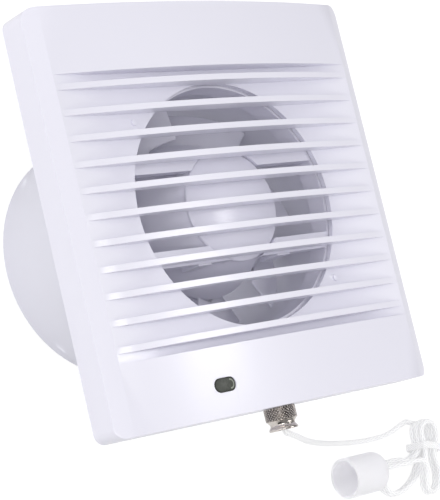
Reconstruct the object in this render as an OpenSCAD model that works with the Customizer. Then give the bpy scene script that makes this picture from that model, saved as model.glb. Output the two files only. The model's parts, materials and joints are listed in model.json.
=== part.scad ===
// Square wall exhaust fan for a 100 mm duct, with a louvred cover and a pull-cord switch.
// Lengths are millimetres. The fan lies on its duct's rear rim: +Z runs along the duct's
// axis, out of the louvred face, +Y points to the cover's top edge and +X to the right.

/* [Cover] */
// Width and height of the square cover
cover_w = 150; // [146:1:180]
// Depth of the cover's side walls at the left and right edges
cover_side_h = 12; // [11:0.5:16]
// Rise of the face from its bevelled edge to its middle
face_bulge = 5.1; // [3:0.1:8]
// Width of the bevelled band along the left and right edges
bevel_w = 5.7; // [3:0.1:8]
// Rise of the bevelled band
bevel_rise = 3.0; // [1.5:0.1:4]
// Wall thickness of the cover
cover_wall = 2.2; // [1.6:0.1:3]
// Corner radius of the cover, seen from the front
cover_corner_r = 4; // [2:0.5:10]

/* [Louvres] */
// Distance from the bevel to the louvred field, at its left and right ends
louvre_inset = 0.3; // [0.3:0.1:12]
// Distance from the cover's top and bottom edges to the louvred field
louvre_margin = 24.5; // [23:0.1:26]
// Distance from one louvre blade to the next
louvre_pitch = 9.2; // [8.6:0.1:9.4]
// Thickness of a louvre blade
louvre_t = 2.2; // [1.6:0.1:3]
// Thickness of the panel behind the louvres
panel_t = 2.0; // [1.6:0.1:3]
// Diameter of the air hole in the panel
air_hole_d = 91; // [84:1:92]

/* [Duct] */
// Length of the spigot behind the wall plane
duct_len = 72; // [60:1:110]
// Outer diameter of the spigot
duct_d = 97.2; // [97:0.1:98.5]
// Wall thickness of the spigot
duct_wall = 1.8; // [1.4:0.1:2.2]
// Length of the narrower tail of the spigot
tail_len = 12; // [6:1:20]
// Step in radius from the spigot to its tail
tail_step = 1.4; // [0.5:0.1:1.8]
// Width of the lip inside the spigot's rear rim
mouth_lip = 2; // [1:0.1:3]
// Length of the lip along the duct
mouth_lip_len = 3; // [2:0.5:6]

/* [Base frame] */
// Clearance between the base frame and the cover
base_gap = 0.4; // [0.3:0.1:0.8]
// Thickness of the base plate
base_t = 2.0; // [1.6:0.1:3]
// Height of the rim round the base plate
base_rim_h = 6; // [4:0.5:8]
// Distance from the cover's edges to the wall screw holes
wall_hole_inset = 13; // [12:0.5:17]
// Diameter of the wall screw holes
wall_hole_d = 4.5; // [4:0.1:5.5]
// Diameter of the cable's bore in the grommet
cable_d = 8.4; // [6:0.1:9]

/* [Motor] */
// Radius of the hub cap over the motor
cap_r = 20.9; // [20:0.1:22]
// Radius of the motor housing at its rear rim
bell_r = 30; // [29:0.1:30.4]
// Length of the motor housing
bell_len = 21.4; // [20.5:0.1:22.5]
// Diameter of the motor shaft
shaft_d = 4; // [3:0.1:5]
// Thickness of the laminated stator
stator_h = 8; // [6:0.5:8]
// Radius of the bore in the stator
stator_bore_r = 11.3; // [10.5:0.1:11.4]
// Air gap between rotor and stator
air_gap = 0.3; // [0.2:0.05:0.5]
// Running clearance of the shaft in its bushes
shaft_gap = 0.03; // [0.02:0.01:0.08]

/* [Impeller] */
// Radius over the blade tips
tip_r = 44; // [40:0.5:44.2]
// Number of impeller blades
blade_count = 7; // [5:1:8]
// Angle that one blade covers
blade_span = 48; // [36:1:50]
// Thickness of a blade
blade_t = 1.6; // [1.2:0.1:2]
// Depth of the blades along the axis
blade_depth = 18; // [12:0.5:20]
// Depth of the hub along the axis
hub_depth = 16.5; // [14:0.5:20]

/* [Pull switch] */
// Depth of the switch housing behind the cover's bottom wall
switch_depth = 16.2; // [16:0.1:17]
// Travel of the pull cord
pull_travel = 6; // [4:0.5:6]
// Radius of the knurled nut
nut_r = 7.5; // [7:0.1:8]
// Length of the nut below the cover
nut_len = 8.3; // [7.5:0.1:10]
// Diameter of the pull cord
cord_d = 2.2; // [2:0.1:2.4]
// Outer radius of the pull bell
bell_pull_r = 8.6; // [8:0.1:10]
// Length of the pull bell
bell_pull_len = 20.6; // [18:0.1:26]

/* [Hidden] */
$fn = 96;
eps = 0.01;
fit = 0.05;

// Levels along Z, from the spigot's rear rim up to the face
z_wall = duct_len;
z_edge = z_wall + cover_side_h;
z_panel = z_edge + panel_t;
edge_land = 0.4;
z_bevel = z_edge + edge_land + bevel_rise;
z_face = z_bevel + face_bulge;
face_half = cover_w / 2 - bevel_w;
louvre_field_w = 2 * (face_half - louvre_inset);
louvre_field_h = cover_w - 2 * louvre_margin;
louvre_count = 2 * floor((louvre_field_h - louvre_t) / (2 * louvre_pitch)) + 1;
inner_corner_r = max(0.8, cover_corner_r - cover_wall);
base_corner_r = max(0.5, inner_corner_r - base_gap);
face_r = (face_half * face_half + face_bulge * face_bulge) / (2 * face_bulge);
louvre_gap = louvre_pitch - louvre_t;
air_r = air_hole_d / 2;

// Duct, base frame and motor bracket
duct_r = duct_d / 2;
duct_in = duct_r - duct_wall;
z_mouth = z_edge - 2.4;
base_w = cover_w - 2 * (cover_wall + base_gap);
wall_hole_spacing = cover_w - 2 * wall_hole_inset;
flange_t = 2.0;
duct_flange_t = 3;
flange_r = duct_r + 4.4;
bracket_screw_r = duct_r + 1.8;
ring_in = air_r - 0.9;
ring_depth = 6.6;
screw_phase = 50;
bracket_thread_r = 1.15;
bracket_screw_len = 5.6;
bracket_head_r = 2.5;
bracket_head_h = 1.4;
strut_y = 17;
strut_h = 6;
strut_t = 4;
z_strut = z_edge - 0.3;

// Motor housing, from the cap's seat to its rear rim
z_cap = z_edge - 2.6;
z_bell = z_cap - bell_len;
bell_wall = 1.6;
bell_front_r = cap_r - 0.3;
bell_shoulder = 2.4;
bell_slope = (bell_r - bell_front_r - 1.2) / (bell_len - bell_shoulder);
z_web = z_cap - 5;
web_t = 1.6;
boss_r = 6.2;
bush_r = 4.5;
bush_len = 3.4;
felt_t = 1.4;
shaft_r = shaft_d / 2;
z_stator = z_web - 12.4;
stator_r = bell_radius(z_stator + stator_h) - bell_wall - 0.6;
yoke_t = 5;
motor_screw_r = 1.25;
screw_ring_r = stator_r - 3.4;
spacer_r = 2.3;
z_rear_plate = z_bell - 0.6;
plate_t = 1.6;
boss_h = 6;
plate_vent_r = 4;
plate_vent_ring = 12.5;
rear_plate_r = screw_ring_r + 4.8;
pole_w = 7;
pole_shoe_w = 12.8;
pole_shoe_t = 1.6;
coil_build = 1.6;
coil_clear = 0.3;
bobbin_t = 0.7;
bobbin_flange_t = 0.6;
winding_gap = 0.05;

// Impeller, turning clockwise as seen from the front
hub_gap = 1.5;
z_hub = z_bell - hub_gap;
hub_wall = 1.6;
z_blade = z_bell + 4;
blade_phase = 45.6;
z_hub_floor = z_hub - hub_depth + 2;

// Pull switch, on the middle of the cover's bottom wall
pull_y = -cover_w / 2;
switch_w = 26;
switch_z = z_wall + base_t + 0.6;
switch_h = z_face - cover_wall - 1.7 - switch_z;
pull_z = switch_z + switch_h / 2;
switch_front_y = pull_y + cover_wall;
switch_back_y = switch_front_y + switch_depth;
switch_wall = 1.2;
bush_thread_r = 4.9;
cord_r = cord_d / 2;
cord_hole_r = cord_r + 1;
slider_half = 3;
slide_gap = 0.3;
channel_half = slider_half + slide_gap;
channel_wall = 0.8;
cam_gap = 0.65;
cam_space = [channel_half + channel_wall, switch_w / 2 - switch_wall];
cam_x = (cam_space[0] + cam_space[1]) / 2;
cam_r = (cam_space[1] - cam_space[0]) / 2 - cam_gap;
cam_pin_r = 1.2;
cam_y = (switch_front_y + switch_back_y) / 2;
slider_len = 3.2;
slider_y = switch_back_y - switch_wall - 0.4;
slider_socket = 1.5;
spring_wire = 0.3;
spring_r = 2.6;

// Lamp in the cover's lower left
lamp_x = -30;
lamp_y = 11 - cover_w / 2;
lens_w = 9.2;
lens_h = 5;
lamp_post_x = 9;
lamp_pin_r = 0.8;
led_r = 1.5;
board_t = 1.2;
board_w = 23;
board_h = 8;
z_lamp = z_face - (lamp_x * lamp_x) / (2 * face_r);
z_lens = z_lamp - cover_wall - 0.5;
z_board = z_lens - 6.9;

// Terminals and cable entry in the cover's lower right
terminal_inset = 35;
terminal_x = cover_w / 2 - terminal_inset;
terminal_y = 12 - cover_w / 2;
terminal_size = [26, 12, 11];
cable_inset_x = 21;
cable_inset_y = 35;
cable_x = cover_w / 2 - cable_inset_x;
cable_y = cable_inset_y - cover_w / 2;
grommet_h = 6.2;

// Pull cord. Its free lead leaves the nut straight, bends towards the right and comes
// down to the surface. Each point is x, distance in front of the nut's mouth and the
// share of the switch's height above the surface.
cord_y = pull_y - nut_len + 1.3;
lead_bend_r = 5;
lead_points = [
    [8.6, -5.6, 0.92], [17, -5.7, 0.845], [27, -6, 0.74], [38, -6.6, 0.62],
    [50, -7.2, 0.495], [62, -8, 0.378], [76, -8.8, 0.26], [92, -9.6, 0.154],
    [108, -9.8, 0.073], [122, -9.2, 0.024], [132, -8.2, 0.004], [139, -7.8, 0]
];
// The tail leaves the hank in line, turns left and runs over the loops to the bell's
// closed end. Each point is x, distance in front of the nut's mouth and height.
tail_bend_r = 4.8;
tail_rise = 1.2;
tail_points = [
    [131.9, -26, 11.4], [129.3, -26, 11], [125.8, -26, 10.3], [121.6, -26, 9.4], [118.4, -26, 8.8]
];
bell_end = [111.6, cord_y - 26, bell_pull_r];
knot_neck = 4;

// Hank: loops wound clockwise, tied at a waist and spread into two lobes
hank_top = [147.5, cord_y - 10];
hank_turn = 17;
hank_loops = 3.664;
hank_rings = 24;
layer_step = cord_d + 0.8;
tie_u = 12;
tie_lift = 0.8;
top_centre = 5;
waist_u = 14.2;
waist_share = 0.4;
bend_from = 9;
bend_to = 29;
lobe_centre = [35, 25.5];
lobe_bend = [68, -40];
lobe_half = [6.8, 6.0];
lobe_droop = 5.2;

// Helpers
function clamp01(x) = max(0, min(1, x));
function smooth(x) = let (t = clamp01(x)) t * t * (3 - 2 * t);
function unit(v) = v / norm(v);

module rounded_square(w, h, r) {
    square([w - 2 * r, h], center = true);
    square([w, h - 2 * r], center = true);
    for (x = [-1, 1], y = [-1, 1])
        translate([x * (w / 2 - r), y * (h / 2 - r)])
            circle(r);
}

module ring(r_out, r_in, h) {
    difference() {
        cylinder(r = r_out, h = h);
        translate([0, 0, -eps])
            cylinder(r = r_in, h = h + 2 * eps);
    }
}

module at_angles(count, r, start = 0) {
    for (i = [0 : count - 1])
        rotate(start + i * 360 / count)
            translate([r, 0, 0])
                children();
}

// A screw with a cross recess: its head starts at z = 0 and its thread points down.
// under_r is the head's radius at z = 0, smaller than head_r on a countersunk head.
module screw(thread_r, head_r, head_h, length, under_r) {
    difference() {
        cylinder(r1 = under_r, r2 = head_r, h = head_h);
        for (a = [0, 90])
            rotate(a)
                translate([-head_r * 0.6, -head_r * 0.12, head_h * 0.5])
                    cube([head_r * 1.2, head_r * 0.24, head_h]);
    }
    translate([0, 0, -length])
        cylinder(r = thread_r, h = length + eps);
}

// A round tube swept along points, closed at both ends
function frame_side(t, up) = let (s = cross(t, up)) norm(s) < 0.05 ? cross(t, [1, 0, 0]) : s;
function ring_points(p, t, r, sides) =
    let (a = unit(frame_side(t, [0, 0, 1])), b = unit(cross(a, t)))
    [for (k = [0 : sides - 1]) p + r * (cos(360 * k / sides) * a + sin(360 * k / sides) * b)];
function tangent(pts, i) =
    i == 0 ? unit(pts[1] - pts[0])
    : i == len(pts) - 1 ? unit(pts[i] - pts[i - 1])
    : unit(unit(pts[i + 1] - pts[i]) + unit(pts[i] - pts[i - 1]));

module tube(pts, r, sides) {
    n = len(pts);
    rings = [for (i = [0 : n - 1]) each ring_points(pts[i], tangent(pts, i), r, sides)];
    walls = [
        for (i = [0 : n - 2], k = [0 : sides - 1])
            let (a = i * sides + k, b = i * sides + (k + 1) % sides)
            each [[a, b, b + sides], [a, b + sides, a + sides]]
    ];
    first = [for (k = [1 : sides - 2]) [0, k + 1, k]];
    last = [for (k = [1 : sides - 2]) [(n - 1) * sides, (n - 1) * sides + k, (n - 1) * sides + k + 1]];
    polyhedron(points = rings, faces = concat(first, walls, last), convexity = 10);
}

// Points of a smooth curve through hand-set points, each span cut into steps
function spline(p, i, t) =
    let (a = p[max(i - 1, 0)], b = p[i], c = p[i + 1], d = p[min(i + 2, len(p) - 1)])
    0.5 * (2 * b + (c - a) * t + (2 * a - 5 * b + 4 * c - d) * t * t
        + (3 * b - a - 3 * c + d) * t * t * t);
function smooth_route(p, steps) = concat(
    [for (i = [0 : len(p) - 2], s = [0 : steps - 1]) spline(p, i, s / steps)],
    [p[len(p) - 1]]
);

// Outer form of the cover: a rounded square, bevelled at its left and right edges
// and closed by a face that is curved from left to right
module cover_form(w, r, side_x, z_low, z_side, bevel_x, z_bevel_top, cylinder_r) {
    intersection() {
        translate([0, 0, z_low])
            linear_extrude(z_face - z_low + 5)
                rounded_square(w, w, r);
        translate([0, w, 0])
            rotate([90, 0, 0])
                linear_extrude(2 * w)
                    polygon([
                        [-side_x, z_low], [side_x, z_low], [side_x, z_side],
                        [bevel_x, z_bevel_top], [bevel_x, z_face + 5],
                        [-bevel_x, z_face + 5], [-bevel_x, z_bevel_top], [-side_x, z_side]
                    ]);
        translate([0, w, z_face - face_r])
            rotate([90, 0, 0])
                cylinder(r = cylinder_r, h = 2 * w, $fn = 360);
    }
}

// The recess behind the louvres: flat over the air hole, rising to the face at both ends
module recess_slot(y_low, y_high, z_add = 0) {
    flat_x = air_r + 4;
    end_x = louvre_field_w / 2;
    translate([0, y_high, 0])
        rotate([90, 0, 0])
            linear_extrude(y_high - y_low)
                polygon([
                    [-end_x, z_bevel + 0.05 + z_add], [-flat_x, z_panel + z_add],
                    [flat_x, z_panel + z_add], [end_x, z_bevel + 0.05 + z_add],
                    [end_x, z_face + 2], [-end_x, z_face + 2]
                ]);
}

module front_cover() {
    color("GhostWhite")
        difference() {
            union() {
                difference() {
                    cover_form(cover_w, cover_corner_r, cover_w / 2, z_wall + 0.3,
                        z_edge + edge_land, face_half, z_bevel, face_r);
                    cover_hollow();
                    field_half = louvre_field_h / 2;
                    louvre_half = (louvre_count - 1) * louvre_pitch / 2;
                    recess_slot(louvre_half + louvre_t / 2, field_half);
                    recess_slot(-field_half, -louvre_half - louvre_t / 2);
                    for (i = [0 : louvre_count - 2]) {
                        y = louvre_half - i * louvre_pitch;
                        recess_slot(y - louvre_t / 2 - louvre_gap, y - louvre_t / 2);
                    }
                }
                lamp_posts();
                panel_pips();
            }
            air_hole();
            lens_hole();
            translate([0, pull_y - 1, pull_z])
                rotate([-90, 0, 0])
                    cylinder(r = bush_thread_r + 0.2, h = cover_wall + 2);
        }
}

// The space inside the cover, leaving the walls of the recess standing
module cover_hollow() {
    w = cover_w - 2 * cover_wall;
    difference() {
        cover_form(w, inner_corner_r, w / 2, z_wall,
            z_edge + edge_land - 0.6, face_half - 1, z_bevel - cover_wall, face_r - cover_wall);
        translate([-louvre_field_w / 2 - 1, -louvre_field_h / 2 - panel_t, z_edge])
            cube([louvre_field_w + 2, louvre_field_h + 2 * panel_t, z_face]);
    }
}

// Two small pips on the panel, in front of two of the bracket's screws
module panel_pips() {
    at_angles(2, bracket_screw_r, screw_phase + 90)
        translate([0, 0, z_panel - 1])
            cylinder(r = 1.1, h = 1.6);
}

// The hole stops at the louvres' backs, which cross it
module air_hole() {
    translate([0, 0, z_edge - 1])
        cylinder(r = air_r, h = panel_t + 1);
}

module lens_outline(w, h) {
    square([w - h, h], center = true);
    for (x = [-1, 1])
        translate([x * (w - h) / 2, 0])
            circle(h / 2);
}

module lens_hole() {
    translate([lamp_x, lamp_y, z_lamp - 6])
        linear_extrude(10)
            lens_outline(lens_w + 2 * fit, lens_h + 2 * fit);
}

// Two posts under the face carry the lamp's board on their pins
module lamp_posts() {
    for (x = [-1, 1])
        translate([lamp_x + x * lamp_post_x, lamp_y, z_board + board_t]) {
            cylinder(r = 1.6, h = z_lamp - 1 - z_board - board_t);
            translate([0, 0, -board_t - 0.6])
                cylinder(r = lamp_pin_r, h = 3);
        }
}

module indicator_lens() {
    color("DarkSlateGray")
        translate([lamp_x, lamp_y, 0]) {
            intersection() {
                translate([0, 0, z_lamp - 4])
                    linear_extrude(8)
                        lens_outline(lens_w, lens_h);
                translate([0, 0, z_lamp - 13.4])
                    sphere(14);
            }
            translate([0, 0, z_lens - 1.2])
                linear_extrude(1.2)
                    lens_outline(lens_w + 2, lens_h + 2);
        }
}

module indicator_lamp() {
    color("Orange")
        translate([lamp_x, lamp_y, z_board]) {
            cylinder(r = led_r, h = 3.4);
            translate([0, 0, 3.4])
                sphere(led_r);
        }
}

module indicator_board() {
    color("DarkGreen")
        difference() {
            translate([lamp_x - board_w / 2, lamp_y - board_h / 2, z_board])
                cube([board_w, board_h, board_t]);
            for (x = [-1, 1])
                translate([lamp_x + x * lamp_post_x, lamp_y, z_board - 1])
                    cylinder(r = lamp_pin_r + fit, h = 3);
            translate([lamp_x, lamp_y, z_board - 1])
                cylinder(r = led_r + fit, h = 3);
        }
}

module base_frame() {
    color("Gainsboro")
        difference() {
            union() {
                translate([0, 0, z_wall])
                    linear_extrude(base_t)
                        rounded_square(base_w, base_w, base_corner_r);
                base_rim();
                cylinder(r = duct_r, h = z_mouth);
                translate([0, 0, z_mouth - duct_flange_t])
                    cylinder(r = flange_r, h = duct_flange_t);
                wall_bosses();
                base_ribs();
            }
            switch_space();
            translate([0, 0, -1])
                cylinder(r = duct_in, h = z_mouth + 2);
            translate([0, 0, -1])
                ring(duct_r + 1, duct_r - tail_step, tail_len + 1);
            base_holes();
        }
    color("Gainsboro") {
        ring(duct_in + eps, duct_in - tail_step, tail_len);
        ring(duct_in - tail_step + eps, duct_in - tail_step - mouth_lip, mouth_lip_len);
    }
}

// Room for the pull switch in the flanges round the duct's mouth
module switch_space() {
    translate([-switch_w / 2 - 1, -cover_w / 2, z_wall + base_t])
        cube([switch_w + 2, cover_w / 2 + switch_back_y + 0.4, z_edge - z_wall]);
}

// The rim is open where the pull switch stands
module base_rim() {
    rim_t = 1.8;
    translate([0, 0, z_wall])
        linear_extrude(base_t + base_rim_h)
            difference() {
                rounded_square(base_w, base_w, base_corner_r);
                rounded_square(base_w - 2 * rim_t, base_w - 2 * rim_t, base_corner_r / 2);
                translate([-switch_w / 2 - 1, -base_w / 2 - 1])
                    square([switch_w + 2, rim_t + 2]);
            }
}

module wall_bosses() {
    half = wall_hole_spacing / 2;
    for (x = [-1, 1], y = [-1, 1])
        translate([x * half, y * half, z_wall])
            cylinder(r = wall_hole_d / 2 + 2.4, h = base_t + 3);
}

// Ribs brace the duct against the base plate
module base_ribs() {
    rib_t = 1.6;
    for (a = [0, 180])
        rotate(a)
            translate([duct_r - 1, -rib_t / 2, z_wall])
                cube([base_w / 2 - duct_r, rib_t, z_mouth - duct_flange_t - z_wall]);
    for (a = [45, 135, 225])
        rotate(a)
            translate([duct_r - 1, -rib_t / 2, z_wall])
                cube([wall_hole_spacing / sqrt(2) - duct_r, rib_t, base_t + 3]);
    translate([-rib_t / 2, duct_r - 1, z_wall])
        cube([rib_t, base_w / 2 - duct_r, z_mouth - duct_flange_t - z_wall]);
}

module base_holes() {
    half = wall_hole_spacing / 2;
    for (x = [-1, 1], y = [-1, 1])
        translate([x * half, y * half, z_wall - 1])
            cylinder(r = wall_hole_d / 2, h = base_t + 6);
    translate([cable_x, cable_y, z_wall - 1])
        cylinder(r = cable_d / 2 + 1.8, h = base_t + 3);
    at_angles(4, bracket_screw_r, screw_phase)
        translate([0, 0, z_mouth - 8])
            cylinder(r = bracket_thread_r + fit, h = 9);
}

// Ring, four struts and the flared motor housing, moulded in one piece
module motor_bracket() {
    color("GhostWhite")
        difference() {
            union() {
                translate([0, 0, z_mouth])
                    ring(flange_r, ring_in, flange_t);
                translate([0, 0, z_mouth - ring_depth])
                    ring(duct_in - 0.2, ring_in, ring_depth + eps);
                struts();
                bell_form();
            }
            at_angles(4, bracket_screw_r, screw_phase) {
                translate([0, 0, z_mouth - 1])
                    cylinder(r = bracket_thread_r + 0.2, h = 5);
                translate([0, 0, z_mouth + flange_t - bracket_head_h])
                    cylinder(r1 = bracket_thread_r + fit, r2 = bracket_head_r + fit,
                        h = bracket_head_h + eps);
            }
            at_angles(4, screw_ring_r, 45)
                translate([0, 0, z_web - 2])
                    cylinder(r = motor_screw_r + fit, h = web_t + 3.2);
            switch_space();
        }
}

function bell_radius(z) = bell_front_r + 1.2 + (z_cap - bell_shoulder - z) * bell_slope;

// Four struts and the small hooks beside the motor housing
module struts() {
    strut_end_r = ring_in + 1;
    difference() {
        intersection() {
            union() {
                for (y = [-1, 1])
                    translate([-strut_end_r, y * strut_y - strut_h / 2, z_strut - strut_t])
                        cube([2 * strut_end_r, strut_h, strut_t]);
                for (x = [-1, 1], y = [-1, 1])
                    translate([x * 19 - 3, y * (strut_y + 2.6) - 1, z_strut - 11])
                        cube([6, 2, 10]);
            }
            translate([0, 0, z_bell])
                cylinder(r = strut_end_r, h = z_edge - z_bell);
        }
        translate([0, 0, z_bell])
            cylinder(r = bell_front_r - 0.4, h = z_edge);
        translate([0, 0, z_cap])
            cylinder(r = cap_r + slide_gap, h = z_edge);
    }
}

module bell_form() {
    rotate_extrude()
        polygon([
            [bell_front_r - bell_wall, z_cap], [bell_front_r, z_cap],
            [bell_front_r + 1.2, z_cap - bell_shoulder], [bell_r, z_bell],
            [bell_r - bell_wall, z_bell],
            [bell_radius(z_web) - bell_wall, z_web], [boss_r + 0.4, z_web],
            [boss_r + 0.4, z_web + web_t], [bell_radius(z_web + web_t) - bell_wall - 0.4, z_web + web_t]
        ]);
}

module hub_cap() {
    rise = 2.8;
    edge_h = 1.2;
    sphere_r = (cap_r * cap_r + rise * rise) / (2 * rise);
    skirt_r = bell_front_r - bell_wall - 0.2;
    color("White")
        difference() {
            union() {
                translate([0, 0, z_cap])
                    cylinder(r = cap_r, h = edge_h);
                intersection() {
                    translate([0, 0, z_cap + edge_h - eps])
                        cylinder(r = cap_r, h = rise + 1);
                    translate([0, 0, z_cap + edge_h + rise - sphere_r])
                        sphere(sphere_r, $fn = 180);
                }
                translate([0, 0, z_cap - 2])
                    ring(skirt_r, skirt_r - 1.3, 2 + eps);
            }
            intersection() {
                translate([0, 0, z_cap - eps])
                    cylinder(r = skirt_r - 1.3, h = edge_h + rise);
                translate([0, 0, z_cap + edge_h + rise - 1.4 - sphere_r])
                    sphere(sphere_r, $fn = 180);
            }
        }
}

module bracket_screws() {
    color("Silver")
        at_angles(4, bracket_screw_r, screw_phase)
            translate([0, 0, z_mouth + flange_t - bracket_head_h])
                screw(bracket_thread_r, bracket_head_r, bracket_head_h, bracket_screw_len,
                    bracket_thread_r);
}

// Laminated ring with four poles and their shoes
module stator_core() {
    color("SlateGray")
        translate([0, 0, z_stator])
            linear_extrude(stator_h)
                difference() {
                    union() {
                        difference() {
                            circle(stator_r);
                            circle(stator_r - yoke_t);
                        }
                        for (a = [0 : 90 : 270])
                            rotate(a)
                                translate([stator_bore_r, -pole_w / 2])
                                    square([stator_r - 3 - stator_bore_r, pole_w]);
                        intersection() {
                            difference() {
                                circle(stator_bore_r + pole_shoe_t);
                                circle(stator_bore_r - eps);
                            }
                            for (a = [0 : 90 : 270])
                                rotate(a)
                                    translate([stator_bore_r / 2, -pole_shoe_w / 2])
                                        square([stator_bore_r, pole_shoe_w]);
                        }
                    }
                    circle(stator_bore_r);
                    for (a = [45 : 90 : 315])
                        rotate(a)
                            translate([screw_ring_r, 0])
                                circle(motor_screw_r + fit);
                }
}

// A rectangular sleeve round a pole, from radius r0 outwards
module pole_sleeve(r0, length, inner_w, inner_h, outer_w, outer_h) {
    translate([r0, 0, z_stator + stator_h / 2])
        rotate([90, 0, 90])
            linear_extrude(length)
                difference() {
                    square([outer_w, outer_h], center = true);
                    square([inner_w, inner_h], center = true);
                }
}

bobbin_w = pole_w + 0.2;
bobbin_h = stator_h + 0.2;
bobbin_flange = 1.8;
coil_r0 = stator_bore_r + pole_shoe_t + coil_clear;
coil_end_r = stator_r - yoke_t - coil_clear;
coil_len = sqrt(coil_end_r * coil_end_r - pow(bobbin_w / 2 + bobbin_flange, 2)) - coil_r0;

module coil_bobbins() {
    color("Ivory")
        for (a = [0 : 90 : 270])
            rotate(a) {
                pole_sleeve(coil_r0, coil_len, bobbin_w, bobbin_h, bobbin_w + 2 * bobbin_t,
                    bobbin_h + 2 * bobbin_t);
                for (r0 = [coil_r0, coil_r0 + coil_len - bobbin_flange_t])
                    pole_sleeve(r0, bobbin_flange_t, bobbin_w, bobbin_h, bobbin_w + 2 * bobbin_flange,
                        bobbin_h + 2 * bobbin_flange);
            }
}

module field_coils() {
    inner = 2 * (bobbin_t + winding_gap);
    end = bobbin_flange_t + winding_gap;
    color("Chocolate")
        for (a = [0 : 90 : 270])
            rotate(a)
                pole_sleeve(coil_r0 + end, coil_len - 2 * end, bobbin_w + inner, bobbin_h + inner,
                    bobbin_w + 2 * coil_build, bobbin_h + 2 * coil_build);
}

// Bearing plate with a cup for its bush. up = 1 puts the cup in front of the plate.
module bearing_plate(z_plate, up, plate_r) {
    difference() {
        union() {
            translate([0, 0, z_plate])
                cylinder(r = plate_r, h = plate_t);
            translate([0, 0, up > 0 ? z_plate : z_plate + plate_t - boss_h])
                cylinder(r = boss_r, h = boss_h);
        }
        translate([0, 0, up > 0 ? z_plate - 1 : z_plate + plate_t - boss_h + 0.8])
            cylinder(r = bush_r, h = boss_h + 0.2);
        translate([0, 0, z_plate - boss_h - 1])
            cylinder(r = shaft_r + 0.4, h = 2 * boss_h + plate_t + 2);
        at_angles(4, screw_ring_r, 45)
            translate([0, 0, z_plate - 1])
                cylinder(r = motor_screw_r + fit, h = plate_t + 2);
        at_angles(4, plate_vent_ring)
            translate([0, 0, z_plate - 1])
                cylinder(r = plate_vent_r, h = plate_t + 2);
    }
}

z_front_plate = z_web - plate_t;

module front_bearing_bracket() {
    color("Silver")
        bearing_plate(z_front_plate, 1, bell_radius(z_web) - bell_wall - 0.3);
}

module rear_bearing_bracket() {
    color("Silver")
        bearing_plate(z_rear_plate, -1, rear_plate_r);
}

z_front_bush = z_front_plate + 0.1;
z_rear_bush = z_rear_plate + plate_t - bush_len - 0.2;

module front_bearing() {
    color("DarkGoldenrod")
        translate([0, 0, z_front_bush])
            ring(bush_r - fit, shaft_r + shaft_gap, bush_len);
}

module rear_bearing() {
    color("DarkGoldenrod")
        translate([0, 0, z_rear_bush])
            ring(bush_r - fit, shaft_r + shaft_gap, bush_len);
}

module oil_felts() {
    color("Wheat") {
        translate([0, 0, z_front_bush + bush_len + 0.1])
            ring(bush_r - fit, shaft_r + 0.4, felt_t);
        translate([0, 0, z_rear_bush - felt_t - 0.1])
            ring(bush_r - fit, shaft_r + 0.4, felt_t);
    }
}

// Tubes hold the laminations midway between the two bearing plates
module stator_spacers() {
    z_low = z_rear_plate + plate_t;
    color("LightGray") {
        at_angles(4, screw_ring_r, 45)
            translate([0, 0, z_low])
                ring(spacer_r, motor_screw_r + fit, z_stator - z_low);
        at_angles(4, screw_ring_r, 45)
            translate([0, 0, z_stator + stator_h])
                ring(spacer_r, motor_screw_r + fit, z_front_plate - z_stator - stator_h);
    }
}

// The screws enter from the rear and end in the motor housing's web
module motor_screws() {
    color("Silver")
        at_angles(4, screw_ring_r, 45)
            translate([0, 0, z_rear_plate])
                rotate([180, 0, 0])
                    screw(motor_screw_r, 2.4, 1.4, z_web + web_t - z_rear_plate + 0.8, 2.4);
}

z_shaft_front = z_front_bush + bush_len + 1.2;
z_shaft_rear = z_hub_floor - 7;

module motor_shaft() {
    color("LightSteelBlue")
        translate([0, 0, z_shaft_rear])
            cylinder(r = shaft_r, h = z_shaft_front - z_shaft_rear);
}

rotor_r = stator_bore_r - air_gap;

module rotor_core() {
    color("DimGray")
        translate([0, 0, z_stator])
            ring(rotor_r, shaft_r + 0.01, stator_h);
}

module rotor_cage() {
    color("Silver")
        for (z = [z_stator - 1.2, z_stator + stator_h])
            translate([0, 0, z])
                ring(rotor_r - 0.4, rotor_r - 4.5, 1.2);
}

// The bearing bosses' ends, which the thrust washers run against
z_rear_boss = z_rear_plate + plate_t - boss_h;
washer_t = 0.6;
washer_gap = 0.2;

module thrust_washers() {
    color("Goldenrod")
        for (z = [z_rear_plate + plate_t + washer_gap, z_front_plate - washer_gap - washer_t,
            z_rear_boss - washer_gap - washer_t])
            translate([0, 0, z])
                ring(bush_r - 0.6, shaft_r + 0.01, washer_t);
}

// One blade as a closed patch: s runs from the leading edge back, r from hub to tip
function blade_point(r, s, side) =
    let (
        a = blade_phase + blade_span * s + 2.5 * sin(180 * s) * (tip_r - r) / tip_r,
        z = z_blade - blade_depth * pow(s, 1.12),
        half = blade_t / 2 * (0.35 + 0.65 * sqrt(sin(180 * (0.06 + 0.88 * s)))),
        lean = half * cos(28) * side
    )
    [r * cos(a - side * half * 26 / r), r * sin(a - side * half * 26 / r), z - lean];

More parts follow.
